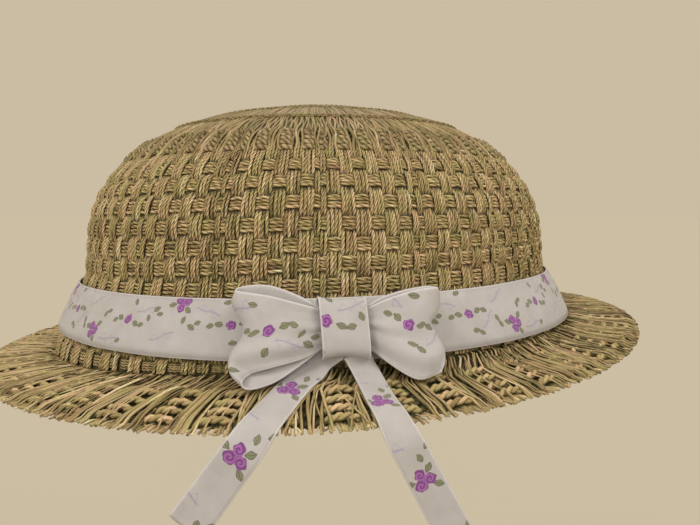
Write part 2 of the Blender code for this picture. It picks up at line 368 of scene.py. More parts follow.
def crown_at(azimuth, run, out):
    """Points on the crown, `run` up its outer line and `out` from it, at azimuths in radians."""
    azimuth, run, out = np.broadcast_arrays(azimuth, run, out)
    radius = np.interp(run, LINE_RUN, LINE[:, 0])
    height = np.interp(run, LINE_RUN, LINE[:, 1])
    radius = radius + out * np.interp(run, LINE_RUN, LINE_OUT[:, 0])
    height = height + out * np.interp(run, LINE_RUN, LINE_OUT[:, 1])
    foot, drop = rows_of(CROWN_LINE)[-1]
    below = height < 0
    radius = np.where(below, radius - (foot - foot_radius(azimuth)) * height / drop, radius)
    height = np.where(below, height * strip_depth(azimuth) / -drop, height)
    low, high = SKEW_FADE
    skew = ease((high - height) / (high - low))
    height = height + BAND_TILT * radius * np.sin(azimuth) * skew
    points = around(azimuth, radius, height)
    points[..., 0] += CROWN_LEAN * np.maximum(height, 0)
    return points


def brim_at(azimuth, share, out):
    """Points on the brim, `share` of the way from the seam to the rim and `out` above its top."""
    azimuth, share, out = np.broadcast_arrays(azimuth, share, out)
    rim = smooth(rows_of(RIM), np.degrees(azimuth).ravel(), 360).reshape(*azimuth.shape, 2)
    seam_out = column(BRIM_FALL, "out")[1]
    seam = foot_radius(azimuth)
    radius = seam + (rim[..., 0] - seam) * share
    fall_at = seam_out + (1 - seam_out) * share
    down = smooth(rows_of(BRIM_FALL), fall_at.ravel()).reshape(azimuth.shape)
    start = foot_height(azimuth) - SEAM_GAP
    past = np.maximum(share - 1, 0) * (rim[..., 1] - start)
    return around(azimuth, radius, start + (rim[..., 1] - start) * down + past + out)


def add_object(name, data):
    obj = bpy.data.objects.new(name, data)
    bpy.context.scene.collection.objects.link(obj)
    return obj


def add_mesh(name, points, loops, sizes, uv, look, slot_name):
    """A mesh in millimetres, made of faces of any size, with its UVs."""
    mesh = bpy.data.meshes.new(name)
    mesh.vertices.add(len(points))
    mesh.vertices.foreach_set("co", (np.asarray(points) * MM).ravel())
    mesh.loops.add(len(loops))
    mesh.loops.foreach_set("vertex_index", np.asarray(loops, np.int32))
    mesh.polygons.add(len(sizes))
    starts = np.concatenate([[0], np.cumsum(sizes)[:-1]]).astype(np.int32)
    mesh.polygons.foreach_set("loop_start", starts)
    mesh.update(calc_edges=True)
    layer = mesh.uv_layers.new(name="cord")
    layer.data.foreach_set("uv", np.asarray(uv, float).ravel())
    mesh.polygons.foreach_set("use_smooth", np.full(len(sizes), True))
    mesh.materials.append(look)
    obj = add_object(name, mesh)
    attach(obj, "root")
    return obj


def add_value(obj, name, values):
    """A number for each of a mesh's points, which its look reads."""
    layer = obj.data.attributes.new(name, "FLOAT", "POINT")
    layer.data.foreach_set("value", np.asarray(values, float).ravel())


def tubes(paths, outs, wide, high, closed=False, sides=CORD_SIDES, roll=0.0):
    """Faces for cords along `paths`, each flattened against the surface that `outs` stands on.

    `paths` and `outs` are (cords, points, 3); the radii along and off the surface broadcast.
    """
    cords, count = paths.shape[:2]
    if closed:
        ahead = np.roll(paths, -1, axis=1) - np.roll(paths, 1, axis=1)
    else:
        ahead = np.gradient(paths, axis=1)
    ahead = normalised(ahead)
    side = normalised(np.cross(ahead, outs))
    out = np.cross(side, ahead)
    wide = np.broadcast_to(wide, (cords, count))[..., None, None]
    high = np.broadcast_to(high, (cords, count))[..., None, None]
    turn = 2 * math.pi * (np.arange(sides) + 0.5) / sides
    spin = np.broadcast_to(roll, (cords, 1))[..., None, None]
    flat_side = side[:, :, None] * np.cos(spin) + out[:, :, None] * np.sin(spin)
    flat_out = out[:, :, None] * np.cos(spin) - side[:, :, None] * np.sin(spin)
    ring = np.cos(turn)[:, None] * wide * flat_side + np.sin(turn)[:, None] * high * flat_out
    points = (paths[:, :, None] + ring).reshape(-1, 3)
    spans = count if closed else count - 1
    cord, span, face = np.meshgrid(
        np.arange(cords), np.arange(spans), np.arange(sides), indexing="ij"
    )
    after, beside = (span + 1) % count, (face + 1) % sides

    def index(along, across):
        return (cord * count + along) * sides + across

    quads = np.stack(
        [index(span, face), index(after, face), index(after, beside), index(span, beside)], axis=-1
    )
    steps = np.linalg.norm(np.diff(paths, axis=1), axis=2)
    run = np.concatenate([np.zeros((cords, 1)), np.cumsum(steps, axis=1)], axis=1)
    if closed:
        last = np.linalg.norm(paths[:, 0] - paths[:, -1], axis=1)
        run = np.concatenate([run, run[:, -1:] + last[:, None]], axis=1)
    start, end = run[cord, span], run[cord, span + 1]
    low, up = face / sides, (face + 1) / sides
    corners = ((start, low), (end, low), (end, up), (start, up))
    uv = np.stack([np.stack(corner, axis=-1) for corner in corners], axis=-2)
    loops = quads.reshape(-1)
    sizes = np.full(quads.size // 4, 4)
    uv = uv.reshape(-1, 2)
    if not closed:
        order = np.arange(sides)
        first = (np.arange(cords) * count * sides)[:, None] + order
        final = ((np.arange(cords) * count + count - 1) * sides)[:, None] + order[::-1]
        caps = np.concatenate([first, final])
        loops = np.concatenate([loops, caps.reshape(-1)])
        sizes = np.concatenate([sizes, np.full(len(caps), sides)])
        uv = np.concatenate([uv, np.zeros((caps.size, 2))])
    return points, loops, sizes, uv


def cord_group(paths, outs, wide, high, tones, light=1.0, plain=0.0, **options):
    """A group of cords. `light` is 1 on a cord's crests and 0 where it dives under another, and
    `plain` is 1 where its grass is not twisted."""
    count = paths.shape[:2]
    points, loops, sizes, uv = tubes(paths, outs, wide, high, **options)
    sides = len(points) // (count[0] * count[1])
    tones = np.repeat(tones, count[1] * sides)
    light = np.repeat(np.broadcast_to(light, count).ravel(), sides)
    plain = np.repeat(np.broadcast_to(plain, count).ravel(), sides)
    made = {"points": points, "loops": loops, "sizes": sizes, "uv": uv}
    return made | {"tone": tones, "light": light, "plain": plain}


def add_cords(name, groups, look, slot_name):
    """One piece from several groups of cords."""
    shift = 0
    for group in groups:
        group["loops"] = group["loops"] + shift
        shift += len(group["points"])
    whole = {key: np.concatenate([group[key] for group in groups]) for key in groups[0]}
    mesh_parts = (whole[key] for key in ("points", "loops", "sizes", "uv"))
    obj = add_mesh(name, *mesh_parts, look, slot_name)
    for key in ("tone", "light", "plain"):
        add_value(obj, key, whole[key])
    return obj


def outs_of(surface, azimuth, along, out, step_along):
    """The outward way off a surface at points on it."""
    across = surface(azimuth + NUDGE, along, out) - surface(azimuth - NUDGE, along, out)
    up = surface(azimuth, along + step_along, out) - surface(azimuth, along - step_along, out)
    return normalised(np.cross(across, up))


def on_crown(azimuth, run, out):
    """Points on the crown, with the outward way there."""
    return crown_at(azimuth, run, out), outs_of(crown_at, azimuth, run, out, CROWN_NUDGE)


def on_brim(azimuth, share, out):
    """Points on the brim, with the outward way there."""
    return brim_at(azimuth, share, out), outs_of(brim_at, azimuth, share, out, BRIM_NUDGE)


# Materials.


class Graph:
    """Short ways to add nodes to a tree. Their inputs are sockets, numbers or tuples."""

    def __init__(self, tree):
        self.nodes, self.links = tree.nodes, tree.links

    def fill(self, node, inputs):
        """Set a node's inputs by name or number. None leaves one as it is."""
        for key, value in inputs.items():
            socket = node.inputs[key]
            if isinstance(value, bpy.types.NodeSocket):
                self.links.new(value, socket)
            elif isinstance(value, tuple) and socket.type == "RGBA":
                socket.default_value = (*value, 1)
            elif value is not None:
                socket.default_value = value
        return node

    def add(self, kind, inputs, **settings):
        node = self.nodes.new(kind)
        for key, value in settings.items():
            setattr(node, key, value)
        return self.fill(node, inputs)

    def calc(self, operation, *values):
        return self.add("ShaderNodeMath", dict(enumerate(values)), operation=operation).outputs[0]

    def times(self, first, second, plus=None):
        """The product of two, plus a third where one is given."""
        kind = "MULTIPLY" if plus is None else "MULTIPLY_ADD"
        return self.calc(kind, first, second, plus)

    def vector(self, operation, *values):
        inputs = dict(enumerate(values))
        return self.add("ShaderNodeVectorMath", inputs, operation=operation).outputs[0]

    def mix(self, factor, first, second, blend="MIX"):
        inputs = {0: factor, 6: first, 7: second}
        return self.add("ShaderNodeMix", inputs, data_type="RGBA", blend_type=blend).outputs[2]

    def ramp(self, factor, stops):
        """A colour ramp from (place, red, green, blue) rows."""
        node = self.add("ShaderNodeValToRGB", {0: factor})
        elements = node.color_ramp.elements
        while len(elements) < len(stops):
            elements.new(0.5)
        for element, (place, *colour) in zip(elements, stops):
            element.position = place
            element.color = (*colour, 1)
        return node.outputs["Color"]

    def step(self, value, low, high):
        """0 below `low`, 1 above `high`, soft between; `low` may be the larger."""
        span = {"From Min": min(low, high), "From Max": max(low, high)}
        ends = {"To Min": float(low > high), "To Max": float(low <= high)}
        inputs = {"Value": value} | span | ends
        node = self.add("ShaderNodeMapRange", inputs, interpolation_type="SMOOTHSTEP")
        return node.outputs["Result"]

    def noise(self, place, scale, detail=2.0, roughness=0.5):
        inputs = {"Vector": place, "Scale": scale, "Detail": detail, "Roughness": roughness}
        return self.add("ShaderNodeTexNoise", inputs).outputs

    def attribute(self, name):
        return self.add("ShaderNodeAttribute", {}, attribute_name=name).outputs["Fac"]

    def uv(self):
        return self.add("ShaderNodeUVMap", {}, uv_map="cord").outputs[0]

    def object_place(self):
        return self.add("ShaderNodeTexCoord", {}).outputs["Object"]

    def split(self, place):
        """A place's first two numbers."""
        parts = self.add("ShaderNodeSeparateXYZ", {0: place}).outputs
        return parts[0], parts[1]

    def join(self, *values):
        return self.add("ShaderNodeCombineXYZ", dict(enumerate(values))).outputs[0]

    def bump(self, height, strength, distance):
        inputs = {"Height": height, "Strength": strength, "Distance": distance}
        return self.add("ShaderNodeBump", inputs).outputs[0]


def new_material(name):
    made = bpy.data.materials.new(name)
    made.use_nodes = True
    return made, Graph(made.node_tree), made.node_tree.nodes["Principled BSDF"]


STRAW_TONES = (
    (0.0, 0.11, 0.080, 0.032),
    (0.2, 0.23, 0.170, 0.074),
    (0.38, 0.36, 0.262, 0.125),
    (0.5, 0.33, 0.285, 0.125),
    (0.62, 0.47, 0.325, 0.180),
    (0.78, 0.54, 0.410, 0.230),
    (1.0, 0.80, 0.66, 0.44),
)
BRIGHTEST = 0.95
STRAW_HUES = (
    (0.36, 0.93, 1.00, 0.88),
    (0.62, 1.00, 0.94, 0.97),
)
PATCHES_A_METRE = 170
# What each part of a cord adds to its tone.
LOBE_TONE = 0.30
CORD_TONE = 0.42
DRIFT_TONE = 1.1
FIBRE_TONE = 0.9
TONE_SHIFT = 0.08
TONE_MIDDLE = 0.36  # `spread` widens the tones about this one
# Each cord's own tone, times these, sets its pattern apart from the next cord's.
PHASE_SEED = 7.0
LOBE_SEED = 97.0
FIBRE_SEED = 53.0
DRIFT_SEED = 31.0
FIBRES_AROUND = 16.0
FIBRES_ALONG = 0.9
FIBRE_TWIST = 2.2
DRIFT_ALONG = 0.06
GROOVE_SHADE_COLOUR = (0.050, 0.036, 0.012)
SIDE_SHADE_COLOUR = (0.030, 0.024, 0.009)
SUNK_COLOUR = (0.030, 0.026, 0.009)
GRASS_SHADE = (0.54, 0.53, 0.50)  # straight grass on the crown beside its cords
FIBRE_HEIGHT = 0.28
GROUND_GRAINS = 900.0  # a metre
# Dark with painted shade: the straw deep in the weave, which the light doesn't reach.
GROUND_SHADE_TONES = [(0.3, 0.035, 0.040, 0.014), (0.7, 0.11, 0.10, 0.042)]
# The foot row's cords are made brighter with painted light, against the band's shadow on them.
STRAW_LOOKS = (
    ("name", "plies", "twist", "lobe", "groove", "gain", "between", "spread"),
    ("fine_cord", 3, 1 / 1.7, 1.0, 0.62, 1.44, 0.75, 1.0),
    ("long_cord", 2, 1 / 2.6, 1.0, 0.65, 1.42, 0.75, 1.0),
    ("top_cord", 2, 1 / 1.6, 1.2, 0.8, 0.98, 0.8, 1.0),
    ("foot_cord_painted_light", 2, 1 / 1.6, 1.2, 0.7, 1.5, 0.6, 1.0),
    ("top_grass", 0, 0.0, 0.0, 0.0, 0.69, 0.15, 1.0),
    ("twisted_rope", 0, 0.0, 0.0, 0.0, 1.14, 0.35, 1.0),
    ("flat_grass", 0, 0.0, 0.0, 0.0, 1.08, 0.5, 1.4),
)


def straw_material(name, plies, twist, lobe, groove, gain, between, spread):
    """Twisted grass cord. `twist` is lobes a millimetre, `lobe` how deep the twist is, `gain` how
    bright it is, `groove` how much painted shade darkens the twist's grooves, and `between` how
    much painted shade darkens a cord's sides, where it lies against the next one."""
    made, graph, shader = new_material(name)
    calc, times, mix = graph.calc, graph.times, graph.mix
    run, turn = graph.split(graph.uv())
    tone = graph.attribute("tone")
    phase = times(run, twist, times(turn, plies))
    phase = calc("ADD", phase, times(tone, PHASE_SEED))
    wave = calc("SINE", times(phase, 2 * math.pi))
    ridge = calc("POWER", times(wave, 0.5, 0.5), 0.6)
    # Each lobe has its own tone, and fibres run along it.
    place = graph.join(calc("FLOOR", phase), times(tone, LOBE_SEED))
    lobe_tone = graph.add("ShaderNodeTexWhiteNoise", {}, noise_dimensions="2D")
    graph.fill(lobe_tone, {"Vector": place})
    twisted_run = times(turn, FIBRES_AROUND, times(run, FIBRE_TWIST))
    place = graph.join(times(run, FIBRES_ALONG), twisted_run, times(tone, FIBRE_SEED))
    fibre = graph.noise(place, 1.0, 3.0, 0.6)["Fac"]
    place = graph.join(times(run, DRIFT_ALONG), times(tone, DRIFT_SEED))
    drift = graph.noise(place, 1.0)["Fac"]
    own = times(tone, CORD_TONE)
    mixed = times(lobe_tone.outputs["Value"], LOBE_TONE, own)
    mixed = times(mixed, spread, TONE_MIDDLE - TONE_MIDDLE * spread)
    for value, middle, share in ((drift, 0.5, DRIFT_TONE), (fibre, 0.45, FIBRE_TONE)):
        mixed = calc("ADD", mixed, times(calc("SUBTRACT", value, middle), share))
    mixed = calc("ADD", mixed, TONE_SHIFT)
    stops = [
        (where, *(min(value * gain, BRIGHTEST) for value in tones))
        for where, *tones in STRAW_TONES
    ]
    colour = graph.ramp(mixed, stops)
    # Patches of the straw are greener or pinker than the rest.
    patches = graph.noise(graph.object_place(), PATCHES_A_METRE)["Fac"]
    colour = mix(1.0, colour, graph.ramp(patches, STRAW_HUES), "MULTIPLY")
    plain = graph.attribute("plain")
    twisted = calc("SUBTRACT", 1.0, plain)
    # Painted shade darkens the grooves of the twist.
    dark = calc("POWER", calc("SUBTRACT", 1.0, ridge), 1.3)
    dark = times(times(dark, groove), twisted)
    colour = mix(dark, colour, GROOVE_SHADE_COLOUR)
    colour = mix(plain, colour, GRASS_SHADE, "MULTIPLY")
    # Painted shade darkens each cord's sides, where it lies against the next one.
    facing = calc("SINE", times(calc("ADD", turn, CORD_TURN), 2 * math.pi))
    side = graph.step(facing, 0.55, -0.2)
    colour = mix(times(side, between), colour, SIDE_SHADE_COLOUR)
    # Cords lie in shade where they dive under others.
    sunk = graph.step(graph.attribute("light"), 0.62, 0.12)
    colour = mix(times(sunk, 0.85), colour, SUNK_COLOUR)
    fibre_height = times(fibre, FIBRE_HEIGHT)
    height = times(times(ridge, twisted), lobe, fibre_height)
    looks = {"Base Color": colour, "Roughness": 0.62, "Specular IOR Level": 0.28}
    graph.fill(shader, looks | {"Normal": graph.bump(height, 0.9, 0.00045)})
    return made


# Painted shade: the dark colour of the sheets deep in the weave.
def ground_material():
    made, graph, shader = new_material("straw_shade")
    grains = graph.noise(graph.object_place(), GROUND_GRAINS)["Fac"]
    graph.fill(shader, {"Base Color": graph.ramp(grains, GROUND_SHADE_TONES), "Roughness": 0.9})
    return made


looks = {row[0]: straw_material(*row) for row in STRAW_LOOKS[1:]}
straw_shade = ground_material()


rng = np.random.default_rng(SEED)


def tones_for(count, low=0.0, high=1.0):
    return rng.uniform(low, high, count)


def each(count, low, high):
    """A random number for each of `count` cords, the same all along it."""
    return rng.uniform(low, high, (count, 1))


def uneven(count, size, middle=0):
    """The same, but close to `middle` for most cords."""
    return rng.normal(middle, size, (count, 1))


# Crown.


def crown_columns():
    """Every column's edges in radians, with its number of cords."""
    cords = np.tile(column(COLUMNS, "cords").astype(int), SECTIONS)
    widths = np.tile(column(COLUMNS, "width"), SECTIONS)
    edges = np.concatenate([[0], np.cumsum(widths)]) / widths.sum() * 2 * math.pi
    return cords, edges + math.radians(PAIR_AZIMUTH)


def row_runs():
    """The run up the crown of each row of weft cords, with its number."""
    runs = [run_at_height(height) for height in ROW_HEIGHTS]
    below = [runs[0] - ROW_PITCH * step for step in range(ROWS_BELOW, 0, -1)]
    below[0] = FOOT_ROW_RUN
    numbers = list(range(-ROWS_BELOW, len(ROW_HEIGHTS) + 1))
    return np.array(numbers), np.array([*below, *runs, run_at_height(TOP_ROW_HEIGHT)])


def row_drop(azimuth, run):
    """How far the rows hang below their runs, at the left between the band and the top row."""
    runs = row_runs()[1]
    inside = ease(run / ROW_DROP_START) * (1 - ease((run - runs[-2]) / (runs[-1] - runs[-2])))
    return ROW_DROP * inside * np.maximum(-np.sin(azimuth), 0)


def rise(phase, height):
    """A weave's wave, flattened on its crests."""
    wave = np.cos(math.pi * phase)
    return height * np.sign(wave) * np.abs(wave) ** WEAVE_FLATNESS


def squeeze(azimuth, run):
    """How much the strip below the band is narrower than at the left, where it is widest."""
    share = strip_depth(azimuth) / -column(CROWN_LINE, "height")[-1]
    return np.where(run < 0, np.clip(share, LEAST_SQUEEZE, 1), 1.0)


def crown_warps():
    """The cords that run up the crown."""
    cords, edges = crown_columns()
    numbers, runs = row_runs()
    ring_run = run_at_radius(RING_RADIUS)
    azimuths, columns, widths = [], [], []
    for number, (count, left, right) in enumerate(zip(cords, edges, edges[1:])):
        share = (np.arange(count) + 0.5) / count
        azimuths += list(left + (right - left) * share)
        columns += [number] * count
        widths += [(right - left) / count] * count
    azimuths, columns, widths = (np.array(x) for x in (azimuths, columns, widths))
    total = len(azimuths)
    run = np.linspace(FOOT_RUN, ring_run, WARP_STEPS)[None, :] + np.zeros((total, 1))
    shift = each(total, -WARP_SHIFT, WARP_SHIFT)
    drop = row_drop(azimuths[:, None], run)
    phase = np.interp(run + drop + shift, runs, numbers)
    fade = ease((ring_run - WEAVE_END - run) / WEAVE_FADE)
    pitch = np.interp(run, LINE_RUN, LINE[:, 0])
    wave = rise(phase + columns[:, None], WEAVE_RISE) * fade
    # All the warps lie flat between the fine rows and the top row.
    gap = (run + drop - runs[-2]) / (runs[-1] - runs[-2])
    low, high = FLAT_GAP
    flat = ease((gap - low) / FLAT_SOFT) * ease((high - gap) / FLAT_SOFT)
    wave = wave * (1 - flat) + FLAT_RISE * WEAVE_RISE * flat
    out = CROWN_MIDDLE + WARP_LIFT + wave
    out = out + uneven(total, CORD_JITTER)
    wander = rng.normal(0, CORD_WANDER, (total, WARP_STEPS))
    wander = (np.roll(wander, 1, axis=1) + wander + np.roll(wander, -1, axis=1)) / pitch
    plain = ease((run - runs[-1] + GRASS_RUN) / GRASS_FADE)
    splay = np.sin(run / GRASS_WAVE + each(total, 0, 2 * math.pi))
    splay = GRASS_SPLAY * plain * splay
    azimuth = azimuths[:, None] + wander + splay / pitch
    paths, outs = on_crown(azimuth, run, out)
    wide = WARP_WIDTH * widths[:, None] * pitch * each(total, 0.92, 1.06)
    high = np.minimum(CORD_RADIUS, wide * 1.05)
    light = np.clip((out - WARP_LIFT - CROWN_MIDDLE) / WEAVE_RISE + 1, 0, 2) / 2
    light = np.where(fade < 1, np.maximum(light, 1 - fade), light)
    tones = tones_for(total)
    half = total // 2
    made = (paths, outs, wide, high, tones, light, plain)
    halves = (slice(0, half), slice(half, None))
    return [cord_group(*(values[part] for values in made)) for part in halves]


def crown_wefts(chosen, spacing, count, radius, height):
    """The cords of the chosen rows, which run round the crown."""
    cords, edges = crown_columns()
    numbers, runs = row_runs()
    middles = (edges[:-1] + edges[1:]) / 2
    steps = len(cords) * WEFT_STEPS
    base = np.linspace(edges[0], edges[-1], steps, endpoint=False)
    three_turns = np.concatenate([middles - 2 * math.pi, middles, middles + 2 * math.pi])
    place = np.interp(base, three_turns, np.arange(-len(cords), 2 * len(cords)))
    paths, outs, wide, light = [], [], [], []
    for number in chosen:
        middle = runs[list(numbers).index(number)]
        for cord in range(count):
            drift = rng.normal(0, CORD_JITTER, steps)
            drift = np.concatenate([drift[-3:], drift, drift[:3]])
            drift = np.convolve(drift, np.ones(7) / 7, "valid")
            run = middle + (cord - (count - 1) / 2) * spacing + drift * WEFT_DRIFT
            run = run - row_drop(base, middle)
            bend = np.abs(np.cos(math.pi * (place + number)))
            side_pull = WEFT_PULL * (cord - (count - 1) / 2) * bend
            out = CROWN_MIDDLE - rise(place + number, height)
            path, outward = on_crown(base, run + side_pull, out)
            paths.append(path)
            outs.append(outward)
            wide.append(radius * squeeze(base, run) * rng.uniform(0.93, 1.05))
            light.append(np.clip((out - CROWN_MIDDLE) / height + 1, 0, 2) / 2)
    wide, light = np.array(wide), np.array(light)
    tones = tones_for(len(paths), 0.05, 0.85)
    paths, outs = np.array(paths), np.array(outs)
    return cord_group(paths, outs, wide, wide * 0.98, tones, light, closed=True)


def top_strands():
    """The fine strands that run in over the top of the crown."""
    ring_run = run_at_radius(RING_RADIUS)
    numbers = np.arange(TOP_STRANDS)
    every_fourth, every_second, rest = (run_at_radius(radius) for radius in TOP_STOPS)
    stop = np.where(numbers % 4 == 0, every_fourth, every_second)
    stop = np.where(numbers % 2 == 0, stop, rest)
    share = np.linspace(0, 1, TOP_STEPS)[None, :]
    run = ring_run - TOP_OVERLAP + (stop[:, None] - ring_run + TOP_OVERLAP) * share
    wander = rng.normal(0, TOP_WANDER, (TOP_STRANDS, TOP_STEPS))
    out = np.full(run.shape, -TOP_DEPTH) + uneven(TOP_STRANDS, LAID_JITTER)
    room = 2 * math.pi * np.interp(run, LINE_RUN, LINE[:, 0]) / TOP_STRANDS
    wide = np.clip(TOP_WIDTH * room, *TOP_RADII)
    tones = tones_for(TOP_STRANDS, 0.2, 0.9)
    paths, outs = on_crown(full_turn(TOP_STRANDS)[:, None] + wander, run, out)
    return [cord_group(paths, outs, wide, wide, tones, sides=4)]


def top_rings():
    """The pairs of cords that bind the top's strands."""
    groups = []
    turn = full_turn(RING_STEPS)[None, :]
    for radius, size in RINGS[1:]:
        run = np.full(turn.shape, run_at_radius(radius))
        for side in (-1, 1):
            swing = rise(turn * RING_WAVES / math.pi + (side + 1) / 2, RING_SWING)
            paths = crown_at(turn, run + side * size * RING_SIDE, -RING_DEPTH + swing)
            outs = outs_of(crown_at, turn, run, -RING_DEPTH, RING_NUDGE)
            groups.append(cord_group(paths, outs, size, size, tones_for(1), closed=True))
    return groups


def top_coil():
    """The coil that fills the middle of the crown's top."""
    first, last = COIL_RADII
    turn = np.linspace(0, 2 * math.pi * COIL_TURNS, COIL_STEPS)[None, :]
    radius = first + (last - first) * turn / turn.max()
    height = np.interp(radius, LINE[::-1, 0], LINE[::-1, 1]) - TOP_DEPTH
    paths = around(turn, radius, height)
    paths[..., 0] += CROWN_LEAN * height
    outs = np.zeros(paths.shape)
    outs[..., 2] = 1
    return [cord_group(paths, outs, COIL_SIZE, COIL_SIZE, tones_for(1, 0.2, 0.4))]


def ground_mesh(name, surface, span, counts, out, slot_name):
    """A thin sheet in the middle of a wall, so that no light comes through the weave. Its dark
    colour is painted shade, for the shaded straw deep in the weave.

    It covers the surface along `span`, with `counts` points along and round.
    """
    (starts, ends), (rows, columns) = span, counts
    azimuth, part = np.meshgrid(full_turn(columns), np.linspace(0, 1, rows))
    along = starts + (ends - starts) * part
    points = surface(azimuth, along, out).reshape(-1, 3)
    row, place = np.meshgrid(np.arange(rows - 1), np.arange(columns), indexing="ij")
    after = (place + 1) % columns
    corners = ((row, place), (row, after), (row + 1, after), (row + 1, place))
    loops = np.stack([level * columns + spot for level, spot in corners], axis=-1).reshape(-1)
    sizes = np.full(len(loops) // 4, 4)
    uv = np.zeros((len(loops), 2))
    return add_mesh(name, points, loops, sizes, uv, straw_shade, slot_name)


crown_pieces = []
for name, group in zip(("crown_warps_a", "crown_warps_b"), crown_warps()):
    crown_pieces.append(add_cords(name, [group], looks["fine_cord"], "crown_straw"))
top = len(ROW_HEIGHTS)
rows = (
    ("wefts_foot", [-ROWS_BELOW], FOOT_ROW_SPACING, ROW_CORDS, FOOT_ROW_SPACING / 2, "foot_cord_painted_light"),
    ("wefts_low", range(1 - ROWS_BELOW, 1), ROW_SPACING, ROW_CORDS, WEFT_RADIUS, "long_cord"),
    ("wefts_high", range(1, top), ROW_SPACING, ROW_CORDS, WEFT_RADIUS, "long_cord"),
    ("top_row", [top], TOP_ROW_SPACING, TOP_ROW_CORDS, TOP_ROW_SPACING / 2, "top_cord"),
)
for name, chosen, spacing, count, radius, look in rows:
    height = TOP_ROW_RISE if name == "top_row" else WEFT_RISE
    group = crown_wefts(chosen, spacing, count, radius, height)
    crown_pieces.append(add_cords(f"crown_{name}", [group], looks[look], "crown_straw"))
groups = top_strands() + top_rings() + top_coil()
crown_pieces.append(add_cords("crown_top_strands", groups, looks["top_grass"], "crown_straw"))
span, counts = (FOOT_RUN, APEX_RUN - GROUND_HOLE), (48, 120)
ground = ground_mesh("crown_ground", crown_at, span, counts, CROWN_MIDDLE, "crown_straw")
crown_pieces.append(ground)
for piece in crown_pieces:
    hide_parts("crown")


# Brim.


def brim_sweep(azimuth, share):
    """How far round the strands have swept, in radians, `share` of the way to the rim."""
    left, right = (table_at(BRIM_SWEEP, "share", side, share) for side in ("left", "right"))
    rightness = ease(0.5 + 0.9 * np.sin(azimuth))
    return np.radians(left + (right - left) * rightness)


def brim_tones_with_shade(azimuth):
    """The tones of strands on the brim, with painted shade that darkens them at the right."""
    return tones_for(len(azimuth)) - BRIM_SHADE * np.clip(np.sin(azimuth[:, 0]), 0, 1)


def brim_strands():
    """Bundles of flat grass that run out from the seam, every second one over all the ropes."""
    numbers = np.repeat(np.arange(BUNDLES), BUNDLE_STRANDS)
    places = np.tile(np.arange(BUNDLE_STRANDS), BUNDLES)
    within = places - (BUNDLE_STRANDS - 1) / 2
    total = len(numbers)
    share = np.linspace(BRIM_START, 1, BRIM_STEPS)[None, :]
    share = share * (1 + each(total, *STRAND_LENGTHS))
    pitch = 2 * math.pi / BUNDLES
    sweep = brim_sweep(numbers[:, None] * pitch, share)
    spread = BUNDLE_SPREAD * (1 + STRAND_SPREAD * uneven(total, 1))
    spread = spread * np.repeat(rng.uniform(*BUNDLE_WIDTHS, BUNDLES), BUNDLE_STRANDS)[:, None]
    stray = np.where(each(total, 0, 1) < STRAY_SHARE, STRAY_LEAN, STRAND_LEAN)
    lean = uneven(total, 1) * stray * (share - LEAN_MIDDLE)
    bow = uneven(total, STRAND_BOW)
    bow = bow * np.sin(math.pi * share * each(total, *BOW_WAVES))
    azimuth = numbers[:, None] * pitch + (within[:, None] * spread + lean + bow) * pitch + sweep
    over = 1 - 2 * (numbers[:, None] % 2)
    inner = ease((share - ROPE_SHARES[0] + LIFT_START) / LIFT_SOFT)
    outer = 1 - ease((share - ROPE_SHARES[-1] - LIFT_END) / LIFT_END_SOFT)
    lift = STRAND_RISE * over * inner * outer
    flat = np.linspace(-1, 1, BUNDLE_STRANDS)[places]
    mound = BUNDLE_MOUND * (1 - flat[:, None] ** 2)
    seam_lift = SEAM_LIFT * (1 - ease(share / SEAM_LIFT_SHARE))
    # Every second strand starts below the brim's middle, so that the seam is covered there too.
    seam_sink = -SEAM_SINK * (1 - ease(share / SEAM_SINK_SHARE))
    seam_lift = np.where(np.arange(total)[:, None] % 2, seam_lift, seam_sink)
    jitter = uneven(total, STRAND_JITTER)
    out = BRIM_MIDDLE + STRAND_LIFT + lift + mound + seam_lift + jitter
    paths, outs = on_brim(azimuth, share, out)
    wide = np.interp(share, [0, 1], STRAND_WIDTHS) / 2 * each(total, 0.72, 1.1)
    high = wide * each(total, 0.55, 0.8)
    roll = each(total, -0.9, 0.9)
    # Painted shade: strands are darker where they dive under the ropes, and towards the seam.
    light = np.clip(1 + lift / STRAND_RISE, 0, 1)
    light = light * np.clip(0.75 + 6 * share, 0.4, 1)
    return [cord_group(paths, outs, wide, high, brim_tones_with_shade(azimuth), light, roll=roll)]


def cover_strands():
    """Fine loose strands that lie over the bundles and ropes, most of them away from the front."""
    azimuth = rng.uniform(-math.pi, math.pi, COVER_STRANDS)
    kept = table_at(COVER_SHARE, "azimuth", "kept", np.degrees(azimuth))
    azimuth = azimuth[rng.uniform(0, 1, COVER_STRANDS) < kept][:, None]
    total = len(azimuth)
    start = each(total, BRIM_START, COVER_START)
    end = np.where(each(total, 0, 1) < COVER_WHOLE, each(total, 0.97, 1.0), COVER_SHORT)
    share = start + (end - start) * np.linspace(0, 1, COVER_STEPS)[None, :]
    sweep = brim_sweep(azimuth, share)
    lean = np.radians(uneven(total, COVER_LEAN, COVER_SWEEP)) * (share - 0.5)
    azimuth = azimuth + sweep + lean
    ends = ease((share - start) / COVER_SOFT) * ease((end - share) / COVER_SOFT)
    jitter = uneven(total, LAID_JITTER)
    out = BRIM_MIDDLE + COVER_LIFT + COVER_ARCH * ends + jitter
    paths, outs = on_brim(azimuth, share, out)
    wide = COVER_WIDTH / 2 * each(total, 0.7, 1.25)
    roll = each(total, -0.7, 0.7)
    return [cord_group(paths, outs, wide, wide * 0.6, brim_tones_with_shade(azimuth), sides=4, roll=roll)]


